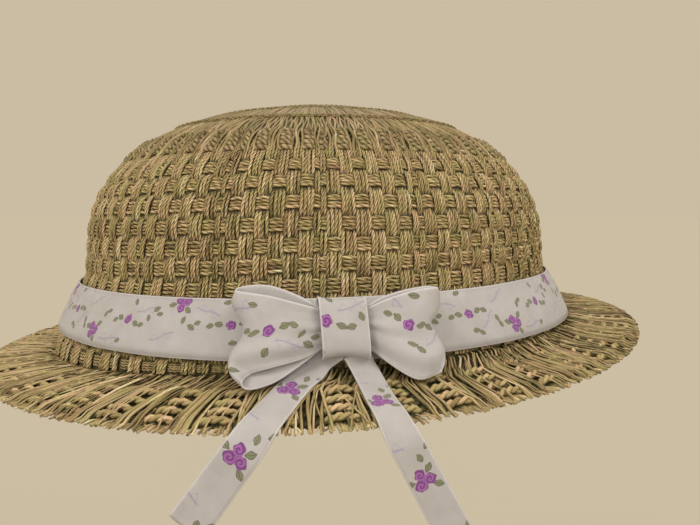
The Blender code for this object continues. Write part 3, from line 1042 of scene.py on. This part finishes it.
def rim_strands():
    """Short cut ends that stand out past the last rope."""
    azimuth = each(RIM_STRANDS, -math.pi, math.pi)
    start = each(RIM_STRANDS, *RIM_STARTS)
    end = each(RIM_STRANDS, *RIM_ENDS)
    share = start + (end - start) * np.linspace(0, 1, RIM_STEPS)[None, :]
    lean = np.radians(uneven(RIM_STRANDS, RIM_LEAN)) * (share - 0.85)
    azimuth = azimuth + brim_sweep(azimuth, share) + lean
    out = BRIM_MIDDLE - RIM_SINK + RIM_RISE * ease((share - RIM_STARTS[1]) / RIM_SOFT)
    paths, outs = on_brim(azimuth, share, out)
    wide = COVER_WIDTH / 2 * each(RIM_STRANDS, 0.8, 1.5)
    roll = each(RIM_STRANDS, -0.8, 0.8)
    tones = tones_for(RIM_STRANDS, 0.1, 1.2)
    return [cord_group(paths, outs, wide, wide * 0.65, tones, sides=4, roll=roll)]


def brim_ropes():
    """Twisted two-ply ropes that run round the brim."""
    groups = []
    pitch = 2 * math.pi / BUNDLES
    turn = full_turn(ROPE_STEPS)[None, :]
    for share in ROPE_SHARES:
        place = (turn - brim_sweep(turn, share)) / pitch
        dive = rise(place, ROPE_RISE)
        out = BRIM_MIDDLE - dive + ROPE_LIFT
        where = share + ROPE_STRAY * np.sin(turn * ROPE_STRAYS + share * ROPE_SHIFT)
        middle, outs = on_brim(turn, where, out)
        ahead = normalised(np.roll(middle, -1, axis=1) - np.roll(middle, 1, axis=1))
        side = normalised(np.cross(ahead, outs))
        length = np.linalg.norm(np.diff(middle, axis=1), axis=2).sum()
        turns = round(length / ROPE_LAY)
        light = np.clip(0.5 - dive / ROPE_RISE, 0, 1)
        for ply in range(2):
            angle = turn * turns + math.pi * ply
            offset = np.cos(angle)[..., None] * side + np.sin(angle)[..., None] * outs
            path = middle + offset * ROPE_RADIUS * PLY_OFFSET
            wide = ROPE_RADIUS * PLY_RADIUS
            tones = tones_for(1, 0.4, 0.8)
            groups.append(cord_group(path, outs, wide, wide, tones, light, closed=True))
    return groups


def seam_ground():
    """A strip that closes the seam behind the strands' ends, dark with painted shade."""

    def upright(azimuth, out, share):
        return brim_at(azimuth, share, out)

    return ground_mesh("seam_ground", upright, SEAM_HEIGHTS, (6, 180), SEAM_SHARE, "brim_straw")


grass, rope = looks["flat_grass"], looks["twisted_rope"]
span, counts = (BRIM_START, GROUND_END), (14, 150)
ground_out = BRIM_MIDDLE - GROUND_SINK
brim_pieces = [
    add_cords("brim_strands", brim_strands(), grass, "brim_straw"),
    add_cords("brim_cover", cover_strands() + rim_strands(), grass, "brim_straw"),
    add_cords("brim_ropes", brim_ropes(), rope, "brim_straw"),
    ground_mesh("brim_ground", brim_at, span, counts, ground_out, "brim_straw"),
    seam_ground(),
]
for piece in brim_pieces:
    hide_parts("brim")


# Ribbon.

RIBBON_WALL = 0.5
SOLID_WALL = 1.0  # of the ribbons' solids, in whose middle the cloth lies
BAND_INSET = 0.45  # how far the cloth lies inside the band's solid
BAND_SLACK = (
    ("size", "waves", "phase"),
    (0.30, 5, 0.8),
    (0.22, 11, 2.0),
)
BAND_RIPPLE = (0.12, 23)  # size and waves, at the lower edge
BAND_SLACK_SHARE = 0.6
BAND_HEM = 0.25  # how far the band's edges turn in
HEM_START = 0.44  # of the band's width, from its middle line
HEM_SOFT = 0.06
BAND_TUCK = 1.2  # how far the band's top edge lies in towards the crown
LOOP_TUCK = 4.0  # how far a loop's lower front edge lies in towards its back
TUCK_HEIGHT = 0.28  # the share of the loop's height over which it does
GATHER = 0.45  # the gathers next to the knot, and the finer folds among them
GATHER_WAVES = 2.5
FOLD = 0.25
FOLD_WAVES = 9
# The print's scale on the bow: its millimetres for each of the ribbon's.
LOOP_PRINT = 0.87
TAIL_TURN = 90
KNOT_PRINT_ON = (17.8, -4.7)  # where on the knot its rose falls
BOW_AZIMUTH = 5.0
BOW_HEIGHT = 8.2
BOW_LEAN = 20.0
BOW_WRAP_RADIUS = 150.0
KNOT_HALF_WIDTH = 6.1
KNOT_HALF_HEIGHT = 8.4
KNOT_MIDDLE = (-0.9, -0.7)
KNOT_SLANT = 0.05
KNOT_DEPTHS = (0.5, 8.9)
KNOT_WAIST = 0.9
KNOT_SQUARENESS = 0.6
LOOP_LINE = (
    ("reach", "depth", "left_top", "left_bottom", "right_top", "right_bottom"),
    (0.045, 5.4, 3.4, -4.4, 3.8, -4.2),
    (0.21, 5.6, 3.9, -5.6, 4.2, -4.6),
    (0.42, 7.6, 5.2, -8.4, 6.2, -9.8),
    (0.7, 8.8, 7.3, -10.5, 8.2, -14.4),
    (0.92, 8.0, 8.7, -12.0, 9.3, -13.6),
    (1.0, 5.8, 9.9, -14.4, 9.9, -12.4),
    (0.93, 3.4, 11.4, -15.9, 10.8, -12.2),
    (0.7, 2.5, 11.5, -14.2, 10.0, -12.4),
    (0.42, 2.5, 8.4, -9.4, 7.9, -9.2),
    (0.21, 3.8, 4.5, -5.4, 5.0, -5.4),
    (0.045, 3.8, 4.2, -4.4, 4.2, -4.4),
)
LOOP_END_LEFT = (
    ("up", "reach"),
    (0.0, 26.6),
    (0.1, 29.2),
    (0.23, 29.9),
    (0.34, 29.1),
    (0.46, 27.0),
    (0.58, 26.1),
    (0.75, 28.1),
    (0.88, 29.2),
    (1.0, 28.2),
)
LOOP_END_RIGHT = (
    ("up", "reach"),
    (0.0, 22.9),
    (0.08, 24.0),
    (0.2, 24.7),
    (0.33, 24.6),
    (0.46, 23.3),
    (0.56, 22.1),
    (0.73, 24.4),
    (0.9, 25.2),
    (1.0, 24.8),
)
KICK_HEIGHT = -4.0
KICK = 0.5
# The tails' ribbons start inside the knot, a little above the solids' ends.
TAIL_LEFT = (
    ("azimuth", "radius", "height", "width", "facing"),
    (3.4, 99.4, 4.8, 8.0, 24),
    (0.8, 99.0, 1.2, 8.2, 30),
    (-0.4, 100.6, -1.2, 8.4, 44),
    (-1.5, 103.0, -2.9, 8.4, 68),
    (-2.8, 107.6, -4.5, 8.4, 73),
    (-4.3, 114.8, -6.6, 8.7, 71),
    (-5.4, 121.5, -8.3, 8.8, 56),
    (-6.7, 124.3, -12.2, 9.0, 18),
    (-9.4, 124.8, -20.5, 9.3, 3),
    (-13.3, 125.2, -32.6, 9.8, 0),
)
TAIL_RIGHT = (
    ("azimuth", "radius", "height", "width", "facing"),
    (6.2, 101.0, 3.2, 7.0, 30),
    (7.2, 101.8, -0.4, 6.8, 42),
    (7.6, 104.2, -2.0, 7.0, 52),
    (7.9, 107.6, -3.5, 7.1, 62),
    (8.1, 114.8, -5.2, 7.3, 70),
    (8.4, 120.9, -6.7, 7.5, 56),
    (9.1, 123.9, -10.2, 7.8, 18),
    (12.0, 124.9, -22.0, 8.2, 3),
    (16.2, 125.0, -39.0, 8.8, 0),
)
TAIL_LOOK = 0.06

# The print: small sprigs in one repeat of the cloth, placed from its lower left corner, and the
# points in it that the ribbons are laid by.
REPEAT = (68.0, 21.8)
BAND_CHART = (0.0, 7.7)
FIRST_ROSE = (10.0, 8.7)
SECOND_ROSE = (45.2, 8.7)
ROSE_CLUSTER = (28.7, 14.4)
ROSES = (
    ("across", "up", "turn", "size"),
    (61.5, 5.0, 0, 1.6),
    (63.9, 3.8, 70, 1.6),
    (61.7, 2.4, 140, 1.55),
    (27.6, 15.6, 20, 1.6),
    (30.1, 15.1, 200, 1.6),
    (28.4, 13.2, 90, 1.55),
    (10.0, 8.7, 45, 1.6),
    (45.2, 8.7, 160, 1.6),
)
LEAVES = (
    ("across", "up", "turn", "size"),
    (65.0, 6.1, 35, 1.38),
    (59.2, 4.6, 160, 1.38),
    (64.0, 1.3, -60, 1.26),
    (25.4, 14.0, 190, 1.38),
    (30.9, 12.6, -40, 1.38),
    (31.4, 17.2, 40, 1.32),
    (41.6, 8.8, 170, 1.38),
    (39.0, 8.3, 200, 1.26),
    (48.6, 9.4, 20, 1.38),
    (51.0, 9.3, -15, 1.32),
    (6.6, 9.0, 160, 1.38),
    (4.4, 8.1, 210, 1.26),
    (13.4, 7.6, -25, 1.38),
    (15.6, 7.4, 15, 1.26),
    (66.6, 9.3, 60, 1.26),
    (0.2, 10.4, 20, 1.15),
    (30.3, 9.6, 80, 1.21),
    (33.2, 7.7, 150, 1.38),
    (35.0, 9.0, 20, 1.15),
    (20.2, 12.4, 30, 1.32),
    (21.8, 11.0, 5, 1.21),
    (11.1, 14.1, 120, 1.26),
    (18.0, 9.6, -70, 1.15),
    (43.0, 15.2, 15, 1.32),
    (46.3, 3.8, 190, 1.26),
    (48.2, 3.0, -30, 1.21),
    (55.4, 6.3, 110, 1.26),
    (56.2, 4.4, -60, 1.21),
    (8.2, 2.1, 20, 1.15),
    (52.6, 17.8, 170, 1.26),
    (3.4, 17.6, 40, 1.21),
)
STEMS = (
    ("across", "up", "turn", "size"),
    (16.4, 12.0, 5, 4.2),
    (4.0, 2.2, -4, 5.2),
    (51.8, 6.6, 35, 3.8),
    (37.6, 12.4, -25, 4.4),
    (58.6, 13.0, 20, 4.4),
    (24.4, 4.6, 12, 4.4),
)
ROSE_COLOUR = (0.26, 0.072, 0.30)
ROSE_LIGHT = (0.37, 0.13, 0.40)
ROSE_DARK = (0.13, 0.035, 0.17)
LEAF_COLOUR = (0.215, 0.22, 0.135)
LEAF_EDGE = (0.085, 0.085, 0.050)
STEM_COLOUR = (0.37, 0.29, 0.42)
CLOTH_LOW = (0.44, 0.415, 0.41)
CLOTH_HIGH = (0.505, 0.48, 0.485)
# A painted highlight along the ribbons' edges.
EDGE_HIGHLIGHT_WIDTH = 0.55
EDGE_HIGHLIGHT_COLOUR = (0.66, 0.63, 0.64)


def shape_group(name, build):
    """A node group that takes a place in the shape's own size and gives its mask and its colour."""
    group = bpy.data.node_groups.new(name, "ShaderNodeTree")
    sockets = (
        ("Place", "INPUT", "Vector"),
        ("Mask", "OUTPUT", "Float"),
        ("Colour", "OUTPUT", "Color"),
    )
    for socket, way, kind in sockets:
        group.interface.new_socket(socket, in_out=way, socket_type=f"NodeSocket{kind}")
    graph = Graph(group)
    start = graph.add("NodeGroupInput", {})
    mask, colour = build(graph, *graph.split(start.outputs["Place"]))
    graph.add("NodeGroupOutput", {"Mask": mask, "Colour": colour})
    return group


def rose_nodes(graph, x, y):
    """A round of uneven petals with darker lines between them."""
    calc, times, step, mix = graph.calc, graph.times, graph.step, graph.mix
    radius = calc("SQRT", times(y, y, times(x, x)))
    angle = calc("ARCTAN2", y, x)
    petals = calc("SINE", times(angle, 5.0))
    uneven = calc("SINE", times(angle, 2.0, 1.3))
    edge = times(petals, 0.06, 0.88)
    edge = times(uneven, 0.07, edge)
    inside = calc("SUBTRACT", edge, radius)
    swirl = calc("SINE", times(radius, 11.0, angle))
    colour = mix(step(swirl, 0.1, 0.9), ROSE_COLOUR, ROSE_LIGHT)
    colour = mix(step(swirl, -0.5, -0.95), colour, ROSE_DARK)
    colour = mix(times(step(inside, 0.16, 0.02), 0.6), colour, ROSE_DARK)
    return step(inside, -0.05, 0.06), colour


def leaf_nodes(graph, x, y):
    """A pointed leaf along x with a darker edge and middle line."""
    calc, times, step = graph.calc, graph.times, graph.step
    half = times(times(x, x), -0.6, 0.6)
    away = calc("ABSOLUTE", y)
    inside = calc("SUBTRACT", half, away)
    lines = calc("MAXIMUM", step(inside, 0.20, 0.06), step(away, 0.10, 0.03))
    colour = graph.mix(times(lines, 0.75), LEAF_COLOUR, LEAF_EDGE)
    return step(inside, -0.05, 0.05), colour


def stem_nodes(graph, x, y):
    """A faint curved stem along x with small curls off it."""
    calc, times, step = graph.calc, graph.times, graph.step

    def curve(waves, swing, wide, narrow):
        bend = calc("SINE", times(x, waves))
        return step(calc("ABSOLUTE", times(bend, swing, y)), wide, narrow)

    line = curve(2.6, -0.13, 0.075, 0.02)
    twig = times(curve(9.0, -0.22, 0.06, 0.02), 0.6)
    ends = step(calc("ABSOLUTE", x), 1.0, 0.8)
    mask = times(calc("MAXIMUM", line, twig), ends)
    return times(mask, 0.9), graph.mix(0.0, STEM_COLOUR, STEM_COLOUR)


def print_material():
    """White cotton with small rose sprigs, laid out in millimetres of cloth."""
    made, graph, shader = new_material("printed_cotton")
    cloth = graph.uv()
    # The print wanders a little, as dye does on cotton.
    wobble = graph.noise(cloth, 1.3)["Color"]
    wobble = graph.vector("MULTIPLY_ADD", wobble, (0.5, 0.5, 0), (-0.25, -0.25, 0))
    shifted = graph.vector("ADD", cloth, wobble)
    shade = graph.noise(cloth, 0.16, 3.0)["Fac"]
    colour = graph.ramp(shade, [(0.3, *CLOTH_LOW), (0.7, *CLOTH_HIGH)])
    half = (REPEAT[0] / 2, REPEAT[1] / 2, 100)
    kinds = (
        (STEMS, shape_group("stem", stem_nodes)),
        (LEAVES, shape_group("leaf", leaf_nodes)),
        (ROSES, shape_group("rose", rose_nodes)),
    )
    for table, group in kinds:
        for across, up, turn, size in table[1:]:
            place = graph.vector("SUBTRACT", shifted, (across, up, 0))
            place = graph.vector("WRAP", place, half, tuple(-value for value in half))
            inputs = {"Vector": place, "Rotation": (0, 0, -math.radians(turn))}
            place = graph.add("ShaderNodeMapping", inputs).outputs[0]
            place = graph.vector("SCALE", place, None, None, 1 / size)
            shape = graph.add("ShaderNodeGroup", {}, node_tree=group)
            graph.fill(shape, {"Place": place})
            colour = graph.mix(shape.outputs["Mask"], colour, shape.outputs["Colour"])
    # The cloth's threads, and soft creases.
    greys = {"Color1": (1, 1, 1), "Color2": (0.9, 0.9, 0.9), "Mortar": (0.55, 0.55, 0.55)}
    sizes = {"Vector": cloth, "Scale": 4.0, "Mortar Size": 0.06}
    threads = graph.add("ShaderNodeTexBrick", greys | sizes).outputs
    colour = graph.mix(0.12, colour, threads["Color"], "MULTIPLY")
    # Painted highlight: a light line along each ribbon's edges.
    edge_highlight = graph.step(graph.attribute("from_edge"), EDGE_HIGHLIGHT_WIDTH, EDGE_HIGHLIGHT_WIDTH / 3)
    colour = graph.mix(graph.times(edge_highlight, 0.8), colour, EDGE_HIGHLIGHT_COLOUR)
    creases = graph.noise(cloth, 0.35, 4.0)["Fac"]
    height = graph.times(threads["Fac"], -0.10, creases)
    looks = {"Base Color": colour, "Roughness": 0.7, "Sheen Weight": 0.15}
    graph.fill(shader, looks | {"Normal": graph.bump(height, 0.35, 0.0012)})
    return made


printed_cotton = print_material()


def grid_of(counts, shape):
    """Points of a grid, (along + 1, across + 1, 3), from shape(along, across) on arrays."""
    along, across = np.meshgrid(
        np.linspace(0, 1, counts[0] + 1), np.linspace(0, 1, counts[1] + 1), indexing="ij"
    )
    return shape(along, across)


def ribbon(name, grid, chart, on, turn, scale, ring=False):
    """A ribbon from its grid of points, with its run and its greatest width.

    The print's point `chart` falls `on` the ribbon's own point (along it, across from its middle
    line), and `scale` is the print's millimetres for each of its own.
    """
    count, across = grid.shape[:2]
    steps = np.linalg.norm(np.diff(grid, axis=0), axis=2).mean(axis=1)
    run = np.concatenate([[0], np.cumsum(steps)])
    width = np.linalg.norm(np.diff(grid, axis=1), axis=2)
    wide = np.concatenate([np.zeros((count, 1)), np.cumsum(width, axis=1)], axis=1)
    wide = wide - wide[:, -1:] / 2
    angle = math.radians(turn)
    ahead, beside = (run[:, None] - on[0]) * scale, (wide - on[1]) * scale
    u = ahead * math.cos(angle) - beside * math.sin(angle) + chart[0]
    v = ahead * math.sin(angle) + beside * math.cos(angle) + chart[1]
    uv = np.stack([u, v], axis=-1)
    row, col = np.meshgrid(np.arange(count - 1), np.arange(across - 1), indexing="ij")
    corners = [(row, col), (row + 1, col), (row + 1, col + 1), (row, col + 1)]
    loop_uv = np.stack([uv[r, c] for r, c in corners], axis=-2).reshape(-1, 2)
    points = grid.reshape(-1, 3)
    from_edge = np.minimum(wide - wide[:, :1], wide[:, -1:] - wide)
    if ring:
        corners = [(r % (count - 1), c) for r, c in corners]
        points = grid[:-1].reshape(-1, 3)
        from_edge = from_edge[:-1]
    loops = np.stack([r * across + c for r, c in corners], axis=-1).reshape(-1)
    sizes = np.full(len(loops) // 4, 4)
    obj = add_mesh(name, points, loops, sizes, loop_uv, printed_cotton, "ribbon")
    add_value(obj, "from_edge", from_edge)
    solid = obj.modifiers.new("wall", "SOLIDIFY")
    solid.thickness = RIBBON_WALL * MM
    solid.offset = 0
    return obj, run[-1], wide[:, -1].max() * 2


def band_radius(height):
    return BAND_FOOT_RADIUS + (BAND_TOP_RADIUS - BAND_FOOT_RADIUS) * height / BAND_WIDTH


def band_shape(along, across):
    """The band, which runs round from the back, with its top edge tucked in to the crown."""
    azimuth = 2 * math.pi * along - math.pi
    height = BAND_WIDTH * across
    slack = sum(size * np.sin(waves * azimuth + phase) for size, waves, phase in BAND_SLACK[1:])
    size, waves = BAND_RIPPLE
    slack = slack * across**2 + size * np.sin(waves * azimuth) * (1 - across)
    edge = BAND_HEM * ease((np.abs(across - 0.5) - HEM_START) / HEM_SOFT)
    radius = band_radius(height) - BAND_INSET + slack * BAND_SLACK_SHARE
    radius = radius - edge - BAND_TUCK * across**2
    points = around(azimuth, radius, height)
    points[..., 2] += BAND_TILT * points[..., 0]
    return points


def turn_in(plane, angle):
    """The matrix that turns points in the plane of two axes."""
    matrix = np.eye(3)
    cos, sin = math.cos(angle), math.sin(angle)
    matrix[np.ix_(plane, plane)] = [[cos, -sin], [sin, cos]]
    return matrix


def bow_frame(points):
    """Points from the bow's own frame: X across, Z up along the band, -Y away from the hat."""
    lean, azimuth = -math.radians(BOW_LEAN), math.radians(BOW_AZIMUTH)
    origin = around(np.array(azimuth), np.array(band_radius(BOW_HEIGHT)), np.array(BOW_HEIGHT))
    return points @ (turn_in((0, 1), azimuth) @ turn_in((1, 2), lean)).T + origin


def loop_shape(side, way, end):
    """A loop of the bow: its side's name, its way along X and its end's outline."""

    def shape(along, across):
        names = ("reach", "depth", f"{side}_top", f"{side}_bottom")
        run = np.column_stack([column(LOOP_LINE, name) for name in names])
        steps = np.linspace(0, 1, len(run))
        values = smooth(np.column_stack([steps, run]), along.ravel()).reshape(*along.shape, 4)
        reach, depth, top, bottom = (values[..., i] for i in range(4))
        height = bottom + (top - bottom) * across
        x = reach * smooth(rows_of(end), across.ravel()).reshape(across.shape)
        pinch = (1 - reach) ** 2
        gather = GATHER * pinch * np.cos(2 * math.pi * GATHER_WAVES * across + 0.6)
        fold = FOLD * np.sin(math.pi * across) * (1 - reach)
        gather = gather + fold * np.cos(FOLD_WAVES * math.pi * across)
        wrap = x * x / (2 * BOW_WRAP_RADIUS)
        depth = depth + KICK * np.maximum(KICK_HEIGHT - height, 0)
        front = ease((0.5 - along) / 0.1) * ease(along / 0.25)
        depth = depth - LOOP_TUCK * front * ease((TUCK_HEIGHT - across) / TUCK_HEIGHT)
        return bow_frame(np.stack([way * x, wrap - depth + gather, height], axis=-1))

    return shape


def knot_shape(along, across):
    near, far = KNOT_DEPTHS
    angle = -2 * math.pi * (along + 0.5)
    sideways = 2 * across - 1
    waist = KNOT_WAIST + (1 - KNOT_WAIST) * sideways**2
    bulge = waist * np.sign(np.cos(angle)) * np.abs(np.cos(angle)) ** KNOT_SQUARENESS
    lift = waist * np.sign(np.sin(angle)) * np.abs(np.sin(angle)) ** KNOT_SQUARENESS
    depth = (near + far) / 2 + (far - near - SOLID_WALL) / 2 * bulge
    x, height = KNOT_MIDDLE
    height = height + (KNOT_HALF_HEIGHT - SOLID_WALL / 2) * lift
    x = x + KNOT_HALF_WIDTH * sideways - KNOT_SLANT * height
    return bow_frame(np.stack([x, -depth, height], axis=-1))


def tail_shape(line):
    def middle(share):
        azimuths = np.radians(column(line, "azimuth"))
        spots = around(azimuths, column(line, "radius"), column(line, "height"))
        run = run_of(spots)
        facing = np.radians(column(line, "facing"))
        rest = (azimuths, column(line, "width"), facing)
        found = smooth(np.column_stack([run, spots, *rest]), share.ravel() * run[-1])
        return found.reshape(*share.shape, 6)

    def shape(along, across):
        here = middle(along)
        azimuth, width, tip = here[..., 3], here[..., 4], here[..., 5]
        face = around(azimuth, np.cos(tip), np.sin(tip))
        ahead = middle(np.minimum(along + TAIL_LOOK, 1))[..., :3]
        behind = middle(np.maximum(along - TAIL_LOOK, 0))[..., :3]
        side = normalised(np.cross(ahead - behind, face))
        return here[..., :3] + side * (width * (across - 0.5))[..., None]

    return shape


def area_of(piece):
    return sum(polygon.area for polygon in piece.data.polygons)


band_grid = grid_of((256, 8), band_shape)
band_run = np.linalg.norm(np.diff(band_grid[:, 4], axis=0), axis=1).sum()
band_on = (band_run / 2, 0.0)
band, run, wide = ribbon("band_ribbon", band_grid, BAND_CHART, band_on, 0, 1.0, ring=True)
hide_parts("hat_band")

loops = (
    ("left", -1, LOOP_END_LEFT, FIRST_ROSE, (20.5, 0.6), 180),
    ("right", 1, LOOP_END_RIGHT, SECOND_ROSE, (17.0, 2.8), 20),
)
for side, way, end, chart, on, turn in loops:
    name, node = f"loop_{side}_ribbon", f"bow_loop_{side}"
    grid = grid_of((64, 24), loop_shape(side, way, end))
    loop, run, _ = ribbon(name, grid, chart, on, turn, LOOP_PRINT)
    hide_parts(node)
    # A loop's width varies, so the mean one is found.
    mean = area_of(loop) / (run * MM)

knot_grid = grid_of((56, 12), knot_shape)
knot, run, _ = ribbon(
    "knot_ribbon", knot_grid, FIRST_ROSE, KNOT_PRINT_ON, -90, LOOP_PRINT, ring=True
)
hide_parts("bow_knot")

tails = (
    ("left", TAIL_LEFT, (18.4, 0.4), 0.89),
    ("right", TAIL_RIGHT, (19.0, 0.5), 0.98),
)
for side, line, on, scale in tails:
    name, node = f"tail_{side}_ribbon", f"bow_tail_{side}"
    grid = grid_of((70, 8), tail_shape(line))
    tail, run, wide = ribbon(name, grid, ROSE_CLUSTER, on, TAIL_TURN, scale)
    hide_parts(node)
    area = area_of(tail)


# Floor, light and camera.

FLOOR_DROP = 0.30
FLOOR_HALF = 12.0
FLOOR_NEAR = 2
FLOOR_COLOUR = (0.464, 0.426, 0.344)
WORLD_COLOUR = (0.597, 0.509, 0.366)
# The way each lamp shines from, in degrees round from the front and up, its strength and its size.
LAMPS = (
    ("name", "azimuth", "elevation", "strength", "angle"),
    ("lamp_left", -50, 46, 1.16, 25),
    ("lamp_right", 55, 42, 0.95, 35),
    ("lamp_back", 170, 55, 0.7, 50),
    ("lamp_front", 0, 8, 0.8, 60),
)


def make_floor():
    """A plain pale floor, well below the hat, that runs on behind it."""
    half, near = FLOOR_HALF, -FLOOR_NEAR
    corners = ((-half, near), (half, near), (half, 2 * half), (-half, 2 * half))
    mesh = bpy.data.meshes.new("floor")
    mesh.from_pydata([(*corner, -FLOOR_DROP) for corner in corners], [], [(0, 1, 2, 3)])
    made, graph, shader = new_material("pale_floor")
    looks = {"Base Color": FLOOR_COLOUR, "Roughness": 1.0, "Specular IOR Level": 0.0}
    graph.fill(shader, looks)
    mesh.materials.append(made)
    obj = add_object("floor", mesh)


def add_lamp(name, azimuth, elevation, strength, angle):
    light = bpy.data.lights.new(name, "SUN")
    light.energy = strength
    light.angle = math.radians(angle)
    obj = add_object(name, light)
    obj.rotation_euler = (math.radians(90 - elevation), 0, math.radians(azimuth))


make_floor()
for lamp in LAMPS[1:]:
    add_lamp(*lamp)

world = bpy.data.worlds.new("studio")
world.use_nodes = True
background = world.node_tree.nodes["Background"]
background.inputs["Color"].default_value = (*WORLD_COLOUR, 1)
background.inputs["Strength"].default_value = 1.0
bpy.context.scene.world = world
bpy.context.scene.view_settings.view_transform = "Standard"

PHOTO_WIDTH = 700
FOCAL_PIXELS = 640
SHIFT_PIXELS = 37.12
CAMERA_PLACE = (0, -0.26087, 0.04031)  # metres
CAMERA_DOWN = 5.05  # degrees
camera = bpy.data.cameras.new("camera")
camera.sensor_width = 36.0
camera.lens = FOCAL_PIXELS / PHOTO_WIDTH * camera.sensor_width
camera.shift_x = SHIFT_PIXELS / PHOTO_WIDTH
camera.clip_start = 0.01
camera_obj = add_object("camera", camera)
camera_obj.location = CAMERA_PLACE
camera_obj.rotation_euler = (math.radians(90 - CAMERA_DOWN), 0, 0)
bpy.context.scene.camera = camera_obj
